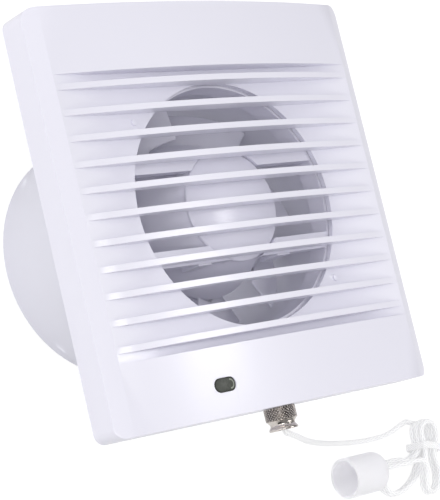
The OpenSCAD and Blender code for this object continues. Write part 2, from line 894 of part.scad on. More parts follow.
module blade() {
    rows = 5;
    cols = 12;
    r_root = bell_r - hub_wall + 0.4;
    row_r = [for (j = [0 : rows]) r_root + (tip_r - r_root) * j / rows];
    top = [for (j = [0 : rows], i = [0 : cols]) blade_point(row_r[j], i / cols, -1)];
    bottom = [for (j = [0 : rows], i = [0 : cols]) blade_point(row_r[j], i / cols, 1)];
    w = cols + 1;
    n = w * (rows + 1);
    skin = [
        for (j = [0 : rows - 1], i = [0 : cols - 1])
            let (a = j * w + i, b = a + 1, c = a + w + 1, d = a + w)
            each [[a, b, c], [a, c, d], [n + a, n + c, n + b], [n + a, n + d, n + c]]
    ];
    ends = [
        for (j = [0 : rows - 1], e = [0, cols])
            let (a = j * w + e, d = a + w)
            each e == 0 ? [[a, d, n + d], [a, n + d, n + a]] : [[a, n + d, d], [a, n + a, n + d]]
    ];
    sides = [
        for (i = [0 : cols - 1], j = [0, rows])
            let (a = j * w + i, b = a + 1)
            each j == 0 ? [[a, n + b, b], [a, n + a, n + b]] : [[a, b, n + b], [a, n + b, n + a]]
    ];
    polyhedron(points = concat(top, bottom), faces = concat(skin, ends, sides), convexity = 6);
}

// Hub cup open towards the motor, with the blades round it
module impeller() {
    color("WhiteSmoke") {
        difference() {
            for (i = [0 : blade_count - 1])
                rotate(i * 360 / blade_count)
                    blade();
            translate([0, 0, z_hub])
                cylinder(r = bell_r + 1, h = 20);
        }
        difference() {
            translate([0, 0, z_hub - hub_depth])
                cylinder(r = bell_r, h = hub_depth);
            translate([0, 0, z_hub_floor + 2])
                cylinder(r = bell_r - hub_wall, h = hub_depth);
            translate([0, 0, z_hub - hub_depth - 1])
                cylinder(r = bell_r - hub_wall, h = 3);
            translate([0, 0, z_hub_floor - 1])
                cylinder(r = shaft_r + 0.01, h = 6);
        }
        translate([0, 0, z_hub_floor + 1])
            ring(5.5, shaft_r + 0.01, z_rear_boss - washer_gap - washer_t - z_hub_floor - 1);
    }
}

module impeller_washer() {
    color("Silver")
        translate([0, 0, z_hub_floor - 0.6])
            ring(4.6, shaft_r + fit, 0.6);
}

module impeller_nut() {
    color("Silver")
        translate([0, 0, z_hub_floor - 3.8])
            difference() {
                cylinder(r = 4, h = 3.2, $fn = 6);
                translate([0, 0, -1])
                    cylinder(r = shaft_r + 0.01, h = 6);
            }
}

module terminal_block() {
    color("Ivory")
        translate([terminal_x, terminal_y, z_wall + base_t])
            difference() {
                translate([-terminal_size[0] / 2, -terminal_size[1] / 2, 0])
                    cube(terminal_size);
                for (i = [-1, 0, 1])
                    translate([i * 8, 0, 0]) {
                        for (y = [-3, 3])
                            translate([0, y, terminal_size[2] - 5])
                                cylinder(r = 1.8, h = 6);
                        translate([0, terminal_size[1] / 2 + 1, 3.6])
                            rotate([90, 0, 0])
                                cylinder(r = 1.6, h = terminal_size[1] + 2);
                    }
                for (i = [-1, 1])
                    translate([i * 4 - 0.4, -terminal_size[1] / 2 - 1, 4])
                        cube([0.8, terminal_size[1] + 2, 10]);
            }
}

module terminal_screws() {
    color("Silver")
        for (i = [-1, 0, 1], y = [-3, 3])
            translate([terminal_x + i * 8, terminal_y + y, z_wall + base_t + terminal_size[2] - 2])
                screw(1.2, 1.7, 1.2, 2.8, 1.7);
}

module cable_grommet() {
    color("DimGray")
        translate([cable_x, cable_y, z_wall + 0.2])
            difference() {
                union() {
                    cylinder(r = cable_d / 2 + 1.7, h = grommet_h);
                    translate([0, 0, base_t])
                        cylinder(r = cable_d / 2 + 3, h = 1.4);
                }
                translate([0, 0, -1])
                    cylinder(r = cable_d / 2, h = grommet_h + 2);
            }
}

// Saddle that grips the supply cable between the grommet and the terminals
clamp_y = cable_y - 11;
clamp_h = 5;
clamp_screw_x = 4.4;

module cable_clamp() {
    color("WhiteSmoke")
        translate([cable_x, clamp_y, z_wall + base_t])
            difference() {
                translate([-6, -2.5, 0])
                    cube([12, 5, clamp_h]);
                translate([0, -3, -0.6])
                    rotate([-90, 0, 0])
                        cylinder(r = 3, h = 6);
                for (x = [-1, 1])
                    translate([x * clamp_screw_x, 0, -1])
                        cylinder(r = 0.9, h = clamp_h + 2);
            }
}

module clamp_screws() {
    color("Silver")
        for (x = [-1, 1])
            translate([cable_x + x * clamp_screw_x, clamp_y, z_wall + base_t + clamp_h])
                screw(0.85, 1.4, 1, clamp_h, 1.4);
}

// Switch housing: a box open to the front, with a channel for the slider and a pin for
// the cam, clamped against the cover's wall by its bush and nut
module switch_body() {
    depth = switch_back_y - switch_front_y;
    inner_w = switch_w - 2 * switch_wall;
    block_half = channel_half + channel_wall;
    color("SaddleBrown")
        difference() {
            union() {
                difference() {
                    translate([-switch_w / 2, switch_front_y, switch_z])
                        cube([switch_w, depth, switch_h - switch_wall]);
                    translate([-inner_w / 2, switch_front_y + switch_wall, switch_z + switch_wall])
                        cube([inner_w, depth - 2 * switch_wall, switch_h]);
                }
                translate([cam_x, cam_y, switch_z])
                    cylinder(r = cam_pin_r, h = switch_h - switch_wall - 0.3);
                translate([-block_half, switch_front_y + 1, switch_z])
                    cube([2 * block_half, depth - 2, pull_z + 1 - switch_z]);
            }
            translate([-channel_half, switch_front_y + switch_wall, pull_z - channel_half])
                cube([2 * channel_half, depth - 2 * switch_wall, switch_h]);
            translate([0, switch_front_y - 1, pull_z])
                rotate([-90, 0, 0])
                    cylinder(r = bush_thread_r - 1, h = switch_wall + 2);
            contact_strips(fit);
        }
}

module switch_cover() {
    depth = switch_back_y - switch_front_y;
    color("Silver")
        translate([-switch_w / 2, switch_front_y, switch_z + switch_h - switch_wall])
            cube([switch_w, depth, switch_wall]);
}

module contact_strips(grow) {
    for (y = [-1, 1])
        translate([cam_x - 2 - grow, cam_y + y * (cam_r + 0.9) - 0.3 - grow, pull_z - 2.5 - grow])
            cube([switch_w / 2 - cam_x + 6 + 2 * grow, 0.6 + 2 * grow, 5 + 2 * grow]);
}

module switch_contacts() {
    color("Gold")
        contact_strips(0);
}

// Bush: a flanged tube that carries the cord out through the cover's bottom wall
module switch_bush() {
    color("Silver")
        translate([0, switch_front_y + switch_wall, pull_z])
            rotate([90, 0, 0])
                difference() {
                    union() {
                        cylinder(r = bush_thread_r - 1 - fit, h = switch_wall + 1);
                        translate([0, 0, switch_wall])
                            cylinder(r = bush_thread_r, h = cover_wall + 3.9);
                    }
                    translate([0, 0, -1])
                        cylinder(r = cord_hole_r, h = 12);
                }
}

// Knurled nut with a drawn-in waist and a flared mouth
module switch_nut() {
    thread_h = 4.8;
    color("DarkGray")
        translate([0, pull_y - 0.05, pull_z])
            rotate([90, 0, 0])
                rotate_extrude()
                    polygon(concat(
                        [[bush_thread_r + fit, 0], [nut_r - 0.3, 0], [nut_r, 0.4],
                            [nut_r, nut_len - 4], [nut_r - 0.5, nut_len - 3.5]],
                        [for (a = [0 : 15 : 180])
                            [nut_r - 0.5 - 0.75 * sin(a), nut_len - 3.4 + 2.6 * a / 180]],
                        [[nut_r - 0.4, nut_len - 0.3], [nut_r - 0.9, nut_len],
                            [cord_hole_r + 2.6, nut_len], [cord_hole_r + 0.6, nut_len - 2.4],
                            [cord_hole_r + 0.6, thread_h], [bush_thread_r + fit, thread_h]]
                    ));
}

// Ratchet cam with four lobes, on a pin of the switch body
module switch_cam() {
    cam_h = switch_h - 2 * switch_wall - 0.6;
    color("Ivory")
        translate([cam_x, cam_y, switch_z + switch_wall + 0.05])
            difference() {
                union() {
                    cylinder(r = 2.2, h = cam_h);
                    for (a = [0 : 90 : 270])
                        rotate(a)
                            translate([cam_pin_r + 0.4, -0.8, cam_h / 2 - 2])
                                cube([cam_r - cam_pin_r - 0.5, 1.6, 4]);
                }
                translate([0, 0, -1])
                    cylinder(r = cam_pin_r + fit, h = cam_h + 2);
            }
}

// Slider that the cord is knotted into
module pull_slider() {
    color("Ivory")
        difference() {
            translate([-slider_half, slider_y - slider_len, pull_z - slider_half])
                cube([2 * slider_half, slider_len, 2 * slider_half]);
            translate([0, slider_y - slider_len - 1, pull_z])
                rotate([-90, 0, 0])
                    cylinder(r = cord_r + fit, h = slider_socket + 1);
        }
}

// Return spring between the slider and the bush. Pulled home, its turns still part.
module switch_spring() {
    y0 = slider_y - slider_len - spring_wire - fit;
    y1 = switch_front_y + switch_wall + spring_wire + fit;
    turns = floor((y0 - y1 - pull_travel) / (2 * spring_wire + 0.1));
    steps = 12 * turns;
    color("Silver")
        tube([for (i = [0 : steps])
            let (a = i * 30)
            [spring_r * cos(a), y0 + (y1 - y0) * i / steps, pull_z + spring_r * sin(a)]],
            spring_wire, 6);
}

// Hank: local place of loop number q, as distance u along the hank, offset v and height z
function swing(q) = let (k = floor(q), f = q - k) k % 2 == 0 ? 1 - f : f;
function layer_z(q) = layer_step * (smooth((q - 0.6) / 0.35) + smooth((q - 1.6) / 0.35)
    + smooth((q - 2.6) / 0.35) + smooth((q - 3.6) / 0.35));
function half_width(s, top_h, waist_h, lobe_h) = s < waist_share
    ? top_h + (waist_h - top_h) * smooth(s / waist_share)
    : waist_h + (lobe_h - waist_h) * smooth((s - waist_share) / (1 - waist_share));
function run_u(s, far_u) = s < waist_share
    ? top_centre + (waist_u - top_centre) * s / waist_share
    : waist_u + (far_u - waist_u) * (s - waist_share) / (1 - waist_share);
function hank_local(q) =
    let (
        k = floor(q + 1e-6), f = q - k, g = k < 2 ? 0 : 1, w = swing(q),
        top_h = 4.4 + 0.4 * w, waist_h = 2.1 + 0.4 * w, lobe_h = lobe_half[g] + 0.6 * w,
        far_u = lobe_centre[g], s = f < 0.5 ? (f - 0.125) * 4 : (0.875 - f) * 4,
        turn = (f < 0.5 ? f : f - 1) * 720, lobe_turn = (f - 0.5) * 720,
        droop = g == 0 ? 0
            : lobe_droop * (f < 0.5 ? smooth((f - 0.2) / 0.22) : smooth((0.7 - f) / 0.2)),
        uv = f < 0.125 || f > 0.875
            ? [top_centre - top_h * cos(turn), top_h * sin(turn)]
            : f < 0.375 || f > 0.625
            ? [run_u(s, far_u), (f < 0.5 ? 1 : -1) * half_width(s, top_h, waist_h, lobe_h)]
            : [far_u + lobe_h * cos(lobe_turn), -lobe_h * sin(lobe_turn)],
        lift = tie_lift * smooth(1 - abs(uv[0] - tie_u) / 9)
    )
    [uv[0], uv[1], cord_r + layer_z(q) - droop + lift, lobe_bend[g]];
function hank_bend(p) =
    let (
        arc_r = (bend_to - bend_from) / (p[3] * PI / 180),
        turn = p[3] * clamp01((p[0] - bend_from) / (bend_to - bend_from)),
        past = max(0, p[0] - bend_to),
        u = p[0] <= bend_from ? p[0] : bend_from + arc_r * sin(turn) + past * cos(turn),
        v = p[0] <= bend_from ? 0 : -arc_r * (1 - cos(turn)) - past * sin(turn)
    )
    [u + p[1] * sin(turn), v + p[1] * cos(turn), p[2]];
function hank_point(q) =
    let (p = hank_bend(hank_local(q)))
    [hank_top[0] - p[0] * sin(hank_turn) + p[1] * cos(hank_turn),
        hank_top[1] - p[0] * cos(hank_turn) - p[1] * sin(hank_turn), p[2]];

hank_steps = floor(hank_loops * hank_rings);
hank_start_dir = unit(hank_point(0.01) - hank_point(0));
hank_end_dir = unit(hank_point(hank_loops) - hank_point(hank_loops - 0.01));
hank_path = concat(
    [hank_point(0) - cord_d * hank_start_dir],
    [for (i = [0 : hank_steps]) hank_point(hank_loops * i / hank_steps)],
    [hank_point(hank_loops) + cord_r * hank_end_dir]
);
// Least gap of the hank to itself, between stretches over half a loop apart
hank_gap = min([for (i = [0 : len(hank_path) - 14], j = [i + 13 : len(hank_path) - 1])
    norm(hank_path[i] - hank_path[j])]) - cord_d;
echo(hank_gap = hank_gap);

module cord_hank() {
    color("White")
        tube(hank_path, cord_r, 6);
}

hank_in = hank_path[0];
hank_out = hank_path[len(hank_path) - 1];

module cord_lead() {
    start = [0, slider_y - slider_len + slider_socket - 0.1, pull_z];
    route = [for (p = lead_points) [p[0], cord_y + p[1], cord_r + p[2] * (pull_z - cord_r)]];
    down = unit([route[0][0], 0, route[0][2] - pull_z]);
    bend = [for (a = [0 : 15 : 90])
        [0, cord_y - lead_bend_r * sin(a), pull_z] + lead_bend_r * (1 - cos(a)) * down];
    curve = smooth_route(concat([bend[len(bend) - 1]], route,
        [hank_in - 1.5 * cord_d * hank_start_dir, hank_in - 0.5 * cord_d * hank_start_dir]), 3);
    color("White")
        tube(concat([start, [0, (start[1] + cord_y) / 2, pull_z]],
            [for (i = [0 : len(bend) - 2]) bend[i]], curve, [hank_in]), cord_r, 8);
}

module cord_tail() {
    heading = atan2(hank_end_dir[1], hank_end_dir[0]);
    start = hank_out + 0.5 * cord_r * hank_end_dir;
    centre = [start[0] - tail_bend_r * sin(heading), start[1] + tail_bend_r * cos(heading)];
    bend = [for (a = [15 : 15 : 90])
        [centre[0] + tail_bend_r * sin(heading + a), centre[1] - tail_bend_r * cos(heading + a),
            start[2] + tail_rise * sin(a)]];
    route = [for (p = tail_points) [p[0], cord_y + p[1], p[2]]];
    curve = smooth_route(concat([start], bend, route,
        [bell_end + 2 * [cord_d, 0, 0], bell_end + [cord_d, 0, 0]]), 3);
    color("White")
        tube(concat([hank_out], curve, [bell_end]), cord_r, 8);
}

// Flat tie round the hank's waist, with its twisted ends on the right
module cord_tie() {
    tie_w = 11.2;
    tie_h = 4 * layer_step + 0.8;
    tie_t = 0.5;
    centre = [hank_top[0] - tie_u * sin(hank_turn), hank_top[1] - tie_u * cos(hank_turn)];
    color("White")
        translate([centre[0], centre[1], tie_h / 2])
            rotate([0, 0, -hank_turn])
                rotate([90, 0, 0]) {
                    translate([0, 0, -2])
                        linear_extrude(4)
                            difference() {
                                rounded_square(tie_w, tie_h, cord_r + tie_t);
                                rounded_square(tie_w - 2 * tie_t, tie_h - 2 * tie_t, cord_r);
                            }
                    translate([tie_w / 2 + 0.8, 1, 0])
                        sphere(1.3, $fn = 24);
                    translate([tie_w / 2 + 3, 1, 0])
                        rotate_extrude($fn = 32)
                            translate([1.6, 0])
                                circle(0.6, $fn = 16);
                }
}

// Bell: a cup with a rounded closed end, lying on its side
module pull_bell() {
    wall = 1.2;
    r = bell_pull_r;
    l = bell_pull_len;
    color("White")
        translate([bell_end[0] - l, bell_end[1], r])
            rotate([0, 90, 0])
                rotate_extrude()
                    polygon(concat(
                        [[r - wall, 0], [r, 0], [r, l - 4]],
                        [for (a = [15 : 15 : 90]) [r - 4 + 4 * cos(a), l - 4 + 4 * sin(a)]],
                        [[cord_r + 0.1, l], [cord_r + 0.1, l - 2],
                            [r - wall - 2.8, l - 2]],
                        [for (a = [75 : -15 : 0])
                            [r - wall - 2.8 + 2.8 * cos(a), l - 4.8 + 2.8 * sin(a)]]
                    ));
}

// The cord's end, knotted inside the bell
module bell_knot() {
    color("White")
        translate([bell_end[0] - bell_pull_len, bell_end[1], bell_pull_r])
            rotate([0, 90, 0]) {
                translate([0, 0, bell_pull_len - knot_neck - 0.6])
                    sphere(2.3, $fn = 32);
                translate([0, 0, bell_pull_len - knot_neck])
                    cylinder(r = cord_r, h = knot_neck);
            }
}

front_cover();
indicator_lens();
indicator_lamp();
indicator_board();
base_frame();
motor_bracket();
hub_cap();
bracket_screws();
stator_core();
coil_bobbins();
field_coils();
front_bearing_bracket();
rear_bearing_bracket();
front_bearing();
rear_bearing();
oil_felts();
stator_spacers();
motor_screws();
motor_shaft();
rotor_core();
rotor_cage();
thrust_washers();
impeller();
impeller_washer();
impeller_nut();
terminal_block();
terminal_screws();
cable_grommet();
cable_clamp();
clamp_screws();
switch_body();
switch_cover();
switch_contacts();
switch_bush();
switch_nut();
switch_cam();
switch_spring();
pull_slider();
cord_lead();
cord_hank();
cord_tie();
cord_tail();
bell_knot();
pull_bell();
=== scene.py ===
"""Wall exhaust fan: the finished surfaces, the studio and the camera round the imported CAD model.

Lengths are metres in the CAD frame: +Z runs along the duct's axis out of the louvred face, +Y to the
cover's top edge and +X to the right. The fan lies on its duct's rear rim, at z = 0.
"""

import json
import logging
import math
from dataclasses import dataclass
from enum import Enum

import bmesh
import bpy
import numpy as np
from mathutils import Matrix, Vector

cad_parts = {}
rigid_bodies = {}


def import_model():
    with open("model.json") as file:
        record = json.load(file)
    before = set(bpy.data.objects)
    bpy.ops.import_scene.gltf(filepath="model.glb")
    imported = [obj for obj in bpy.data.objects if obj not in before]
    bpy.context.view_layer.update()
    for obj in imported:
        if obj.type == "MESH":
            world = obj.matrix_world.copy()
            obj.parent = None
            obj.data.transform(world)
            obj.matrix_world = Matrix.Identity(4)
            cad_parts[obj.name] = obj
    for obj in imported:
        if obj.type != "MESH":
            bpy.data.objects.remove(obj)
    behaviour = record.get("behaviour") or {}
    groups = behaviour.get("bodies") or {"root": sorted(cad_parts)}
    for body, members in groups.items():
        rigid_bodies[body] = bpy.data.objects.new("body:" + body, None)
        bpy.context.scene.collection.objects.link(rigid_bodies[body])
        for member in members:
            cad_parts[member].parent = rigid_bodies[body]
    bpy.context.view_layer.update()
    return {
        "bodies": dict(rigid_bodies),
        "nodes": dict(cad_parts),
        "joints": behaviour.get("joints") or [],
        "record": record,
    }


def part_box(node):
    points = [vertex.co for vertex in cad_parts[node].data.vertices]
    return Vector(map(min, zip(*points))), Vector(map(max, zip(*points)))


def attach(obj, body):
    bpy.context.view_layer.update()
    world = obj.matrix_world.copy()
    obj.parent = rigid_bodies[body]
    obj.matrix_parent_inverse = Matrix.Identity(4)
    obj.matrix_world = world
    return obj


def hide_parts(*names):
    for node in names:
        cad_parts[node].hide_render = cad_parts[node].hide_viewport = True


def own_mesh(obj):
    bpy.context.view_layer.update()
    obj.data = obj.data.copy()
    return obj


LOG = logging.getLogger("fan")
MM = 0.001
TURN = 2 * math.pi
SAME_PLACE = 1e-7  # points of a grid closer than this are one
SMOOTH_BELOW = math.radians(38)  # edges flatter than this are shaded smooth
FLAT_BELOW = math.radians(0.6)  # CAD faces that meet flatter than this are one
Points = np.ndarray
Object = bpy.types.Object
Socket = bpy.types.NodeSocket
Value = Socket | float


class Body(Enum):
    """The CAD bodies that pieces ride on."""

    FAN = "fan_body"
    ROTOR = "rotor"
    PULL = "pull"


# Numbers and curves


def smooth_step(x: Points) -> Points:
    """3 t^2 - 2 t^3 of x held between 0 and 1."""
    t = np.clip(x, 0.0, 1.0)
    return t * t * (3 - 2 * t)


def unit(vectors: Points) -> Points:
    """The vectors at length 1."""
    return vectors / np.maximum(np.linalg.norm(vectors, axis=-1, keepdims=True), 1e-12)


def path_length(points: Points) -> Points:
    """Distance along a polyline to each of its points."""
    steps = np.linalg.norm(np.diff(points, axis=0), axis=1)
    return np.concatenate([[0.0], np.cumsum(steps)])


def spaced(points: Points, step: float) -> Points:
    """A polyline again, with its points evenly spaced.

    Args:
        points: the polyline.
        step: about how far apart the new points are.

    Returns:
        The new points, with the same ends.
    """
    along = path_length(points)
    at = np.linspace(0.0, along[-1], max(2, int(round(along[-1] / step)) + 1))
    return np.stack([np.interp(at, along, points[:, k]) for k in range(3)], axis=1)


def eased(points: Points, reach: int) -> Points:
    """A polyline with each point moved to the mean of its neighbours.

    Args:
        points: the polyline.
        reach: how many neighbours count on each side.

    Returns:
        The smoother polyline, with the same ends.
    """
    before = 2 * points[:1] - points[reach:0:-1]
    after = 2 * points[-1:] - points[-2:-reach - 2:-1]
    padded = np.concatenate([before, points, after])
    share = np.full(2 * reach + 1, 1 / (2 * reach + 1))
    return np.stack([np.convolve(padded[:, k], share, mode="valid") for k in range(3)], axis=1)


def catmull_rom(points: Points, steps: int) -> Points:
    """Points on the Catmull-Rom curve through the given ones.

    Args:
        points: the points that the curve passes through.
        steps: how many points each span gets.

    Returns:
        The curve's points, ending on the last given one.
    """
    ends = np.concatenate([points[:1], points, points[-1:]])
    a, b, c, d = (p[:, None, :] for p in (ends[:-3], ends[1:-2], ends[2:-1], ends[3:]))
    t = (np.arange(steps) / steps)[None, :, None]
    square = (2 * a - 5 * b + 4 * c - d) * t**2
    cube = (3 * b - a - 3 * c + d) * t**3
    curve = 0.5 * (2 * b + (c - a) * t + square + cube)
    return np.concatenate([curve.reshape(-1, 3), points[-1:]])


def rounded_outline(corners: list, steps: int = 5, closed: bool = True) -> Points:
    """An outline with its corners rounded by arcs.

    Args:
        corners: rows of x, y and the corner's radius, in order along the outline.
        steps: how many chords each arc gets.
        closed: whether the last corner joins the first.

    Returns:
        The outline's points, two columns.
    """
    given = np.array(corners, float)
    out = []
    count = len(given)
    for i in range(count):
        here, radius = given[i, :2], given[i, 2]
        if radius <= 0 or (not closed and i in (0, count - 1)):
            out.append(here[None])
            continue
        back = unit(given[i - 1, :2] - here)
        on = unit(given[(i + 1) % count, :2] - here)
        half = 0.5 * math.acos(float(np.clip(back @ on, -1, 1)))
        reach = radius / math.tan(half)
        centre = here + unit(back + on) * radius / math.sin(half)
        start, end = here + back * reach - centre, here + on * reach - centre
        turn = math.acos(float(np.clip(unit(start) @ unit(end), -1, 1)))
        t = np.linspace(0, 1, steps + 1)[:, None]
        arc = (np.sin((1 - t) * turn) * start + np.sin(t * turn) * end) / math.sin(turn)
        out.append(centre + arc)
    return np.concatenate(out)


# Meshes


def linked(name: str, data: bpy.types.ID) -> Object:
    """A new object in the scene.

    Args:
        name: its name.
        data: its mesh, camera or light.

    Returns:
        The object.
    """
    made = bpy.data.objects.new(name, data)
    bpy.context.scene.collection.objects.link(made)
    return made


def surface(name: str, points: Points, wrap_rows: bool = False, wrap_columns: bool = False,
            row_values: Points | None = None, relief: Points | None = None) -> Object:
    """A closed mesh object from a grid of points.

    Args:
        name: the piece's name.
        points: grid of points, rows by columns by 3.
        wrap_rows: whether the last row joins the first.
        wrap_columns: whether the last column joins the first.
        row_values: the V value of each row, by default its share of the rows.
        relief: a value for each point, kept as the attribute that materials read as height.

    Returns:
        The object. Points that coincide are joined, so a row of one place closes as a pole.
    """
    rows, columns = points.shape[:2]
    row_count = rows if wrap_rows else rows - 1
    column_count = columns if wrap_columns else columns - 1
    i, j = (g.ravel() for g in np.meshgrid(np.arange(row_count), np.arange(column_count), indexing="ij"))
    at_rows = np.stack([i, i, i + 1, i + 1], axis=1)
    at_columns = np.stack([j, j + 1, j + 1, j], axis=1)
    faces = (at_rows % rows) * columns + at_columns % columns
    mesh = bpy.data.meshes.new(name)
    mesh.from_pydata(points.reshape(-1, 3), [], faces)
    values = np.linspace(0, 1, row_count + 1) if row_values is None else row_values
    uv = np.stack([at_columns / column_count, values[at_rows]], axis=-1)
    mesh.uv_layers.new(name="UVMap").data.foreach_set("uv", uv.astype(np.float32).ravel())
    if relief is not None:
        heights = mesh.attributes.new("relief", "FLOAT", "POINT")
        heights.data.foreach_set("value", relief.astype(np.float32).ravel())
    joined = bmesh.new()
    joined.from_mesh(mesh)
    bmesh.ops.remove_doubles(joined, verts=joined.verts, dist=SAME_PLACE)
    bmesh.ops.recalc_face_normals(joined, faces=joined.faces)
    joined.to_mesh(mesh)
    joined.free()
    mesh.shade_smooth()
    mesh.set_sharp_from_angle(angle=SMOOTH_BELOW)
    return linked(name, mesh)


def join(name: str, parts: list[Object]) -> Object:
    """One object of several, with their UVs and attributes.

    Args:
        name: the joined piece's name.
        parts: the objects, of which only the first remains.

    Returns:
        The joined object.
    """
    bpy.ops.object.select_all(action="DESELECT")
    for part in parts:
        part.select_set(True)
    bpy.context.view_layer.objects.active = parts[0]
    bpy.ops.object.join()
    parts[0].name = name
    parts[0].data.name = name
    return parts[0]


@dataclass(frozen=True)
class Axis:
    """A local frame: the origin, the direction along the axis and the direction of angle zero."""

    origin: tuple
    along: tuple
    zero: tuple

    def place(self, radius: Points, angle: Points, along: Points) -> Points:
        """Points O + along A + radius (cos(angle) Z + sin(angle) A x Z), with A the axis and Z angle zero.

        Args:
            radius: distances from the axis.
            angle: angles round it, in radians.
            along: distances along it. The three broadcast together.

        Returns:
            The points, with one more dimension of three.
        """
        direction, zero = np.array(self.along, float), np.array(self.zero, float)
        third = np.cross(direction, zero)
        radius, angle, along = np.broadcast_arrays(radius, angle, along)
        across = (radius * np.cos(angle))[..., None] * zero + (radius * np.sin(angle))[..., None] * third
        return np.array(self.origin, float) + along[..., None] * direction + across


DUCT_AXIS = Axis((0, 0, 0), (0, 0, 1), (1, 0, 0))


def revolved(name: str, outline: Points, axis: Axis, columns: int = 96, closed: bool = True) -> Object:
    """A body of revolution, the outline's rows of radius and distance turned once round the axis.

    Args:
        name: the piece's name.
        outline: rows of radius and distance along the axis.
        axis: the axis that it turns round.
        columns: how many places the turn has.
        closed: whether the outline is a closed loop; otherwise its ends lie on the axis.

    Returns:
        The object.
    """
    angle = np.arange(columns) * TURN / columns
    points = axis.place(outline[:, 0][:, None], angle[None], outline[:, 1][:, None])
    return surface(name, points, wrap_rows=closed, wrap_columns=True)


def frames_along(path: Points) -> tuple[Points, Points]:
    """Two directions across a path at each of its points, carried along without twist.

    Args:
        path: the path's points.

    Returns:
        The two directions, each at right angles to the path and to the other.
    """
    tangent = unit(np.gradient(path, axis=0))
    first = np.cross(tangent[0], [0.0, 0.0, 1.0])
    side = np.empty_like(tangent)
    side[0] = unit(first if np.linalg.norm(first) > 0.1 else np.cross(tangent[0], [1.0, 0.0, 0.0]))
    for i in range(1, len(path)):
        side[i] = unit(side[i - 1] - tangent[i] * (side[i - 1] @ tangent[i]))
    return side, np.cross(tangent, side)


def tube(name: str, path: Points, radius: float | Points, sides: int,
         relief: Points | None = None) -> Object:
    """A tube round a path with rounded ends.

    Each ring is P(i) + R(i, j) (cos a S(i) + sin a T(i)), with S and T carried along the path. At both
    ends R shrinks to 0 on a quarter ellipse that is 0.6 of the radius long.

    Args:
        name: the piece's name.
        path: the ring centres.
        radius: the radius of each ring's points, which broadcasts to rings by sides.
        sides: how many points a ring has.
        relief: the height value of each point, or None.

    Returns:
        The object.
    """
    side, third = frames_along(path)
    angle = np.arange(sides) * TURN / sides
    full = np.broadcast_to(radius, (len(path), sides)).copy()
    cap = 0.6 * float(full[0].mean())
    along = path_length(path)
    from_end = np.minimum(along, along[-1] - along)
    full *= np.sqrt(np.clip(1 - np.clip(1 - from_end / cap, 0, 1) ** 2, 0, 1))[:, None]
    around = np.cos(angle)[None, :, None] * side[:, None] + np.sin(angle)[None, :, None] * third[:, None]
    points = path[:, None] + full[..., None] * around
    return surface(name, points, wrap_columns=True, row_values=along, relief=relief)


def softened(frame: dict, node: str, width: float, sharp: float = 35) -> Object:
    """A copy of a CAD node's mesh with its sharp edges rounded.

    Args:
        node: the CAD node's name.
        width: how far the rounding reaches from an edge, in metres.
        sharp: the least angle between faces that counts as an edge, in degrees.

    Returns:
        The object, before it stands for the node.
    """
    mesh = frame["nodes"][node].data.copy()
    mesh.name = node
    flat = bmesh.new()
    flat.from_mesh(mesh)
    bmesh.ops.remove_doubles(flat, verts=flat.verts, dist=0.002 * MM)
    bmesh.ops.dissolve_limit(flat, angle_limit=FLAT_BELOW, verts=flat.verts, edges=flat.edges)
    # A flat ring can't stay one face, which would close its hole once it is rounded
    bmesh.ops.triangulate(flat, faces=[face for face in flat.faces if len(face.verts) > 4])
    bmesh.ops.recalc_face_normals(flat, faces=flat.faces)
    flat.to_mesh(mesh)
    flat.free()
    # The file's own corner normals belong to the faces as they were
    mesh.attributes.remove(mesh.attributes["custom_normal"])
    mesh.materials.clear()
    mesh.shade_smooth()
    made = linked(node + "_skin", mesh)
    bevel = made.modifiers.new("Rounding", "BEVEL")
    bevel.width = width
    bevel.segments = 2
    bevel.limit_method = "ANGLE"
    bevel.angle_limit = math.radians(sharp)
    bevel.use_clamp_overlap = True
    bevel.miter_outer = "MITER_ARC"
    made.modifiers.new("Flatness", "WEIGHTED_NORMAL").keep_sharp = True
    return made


# Finishes


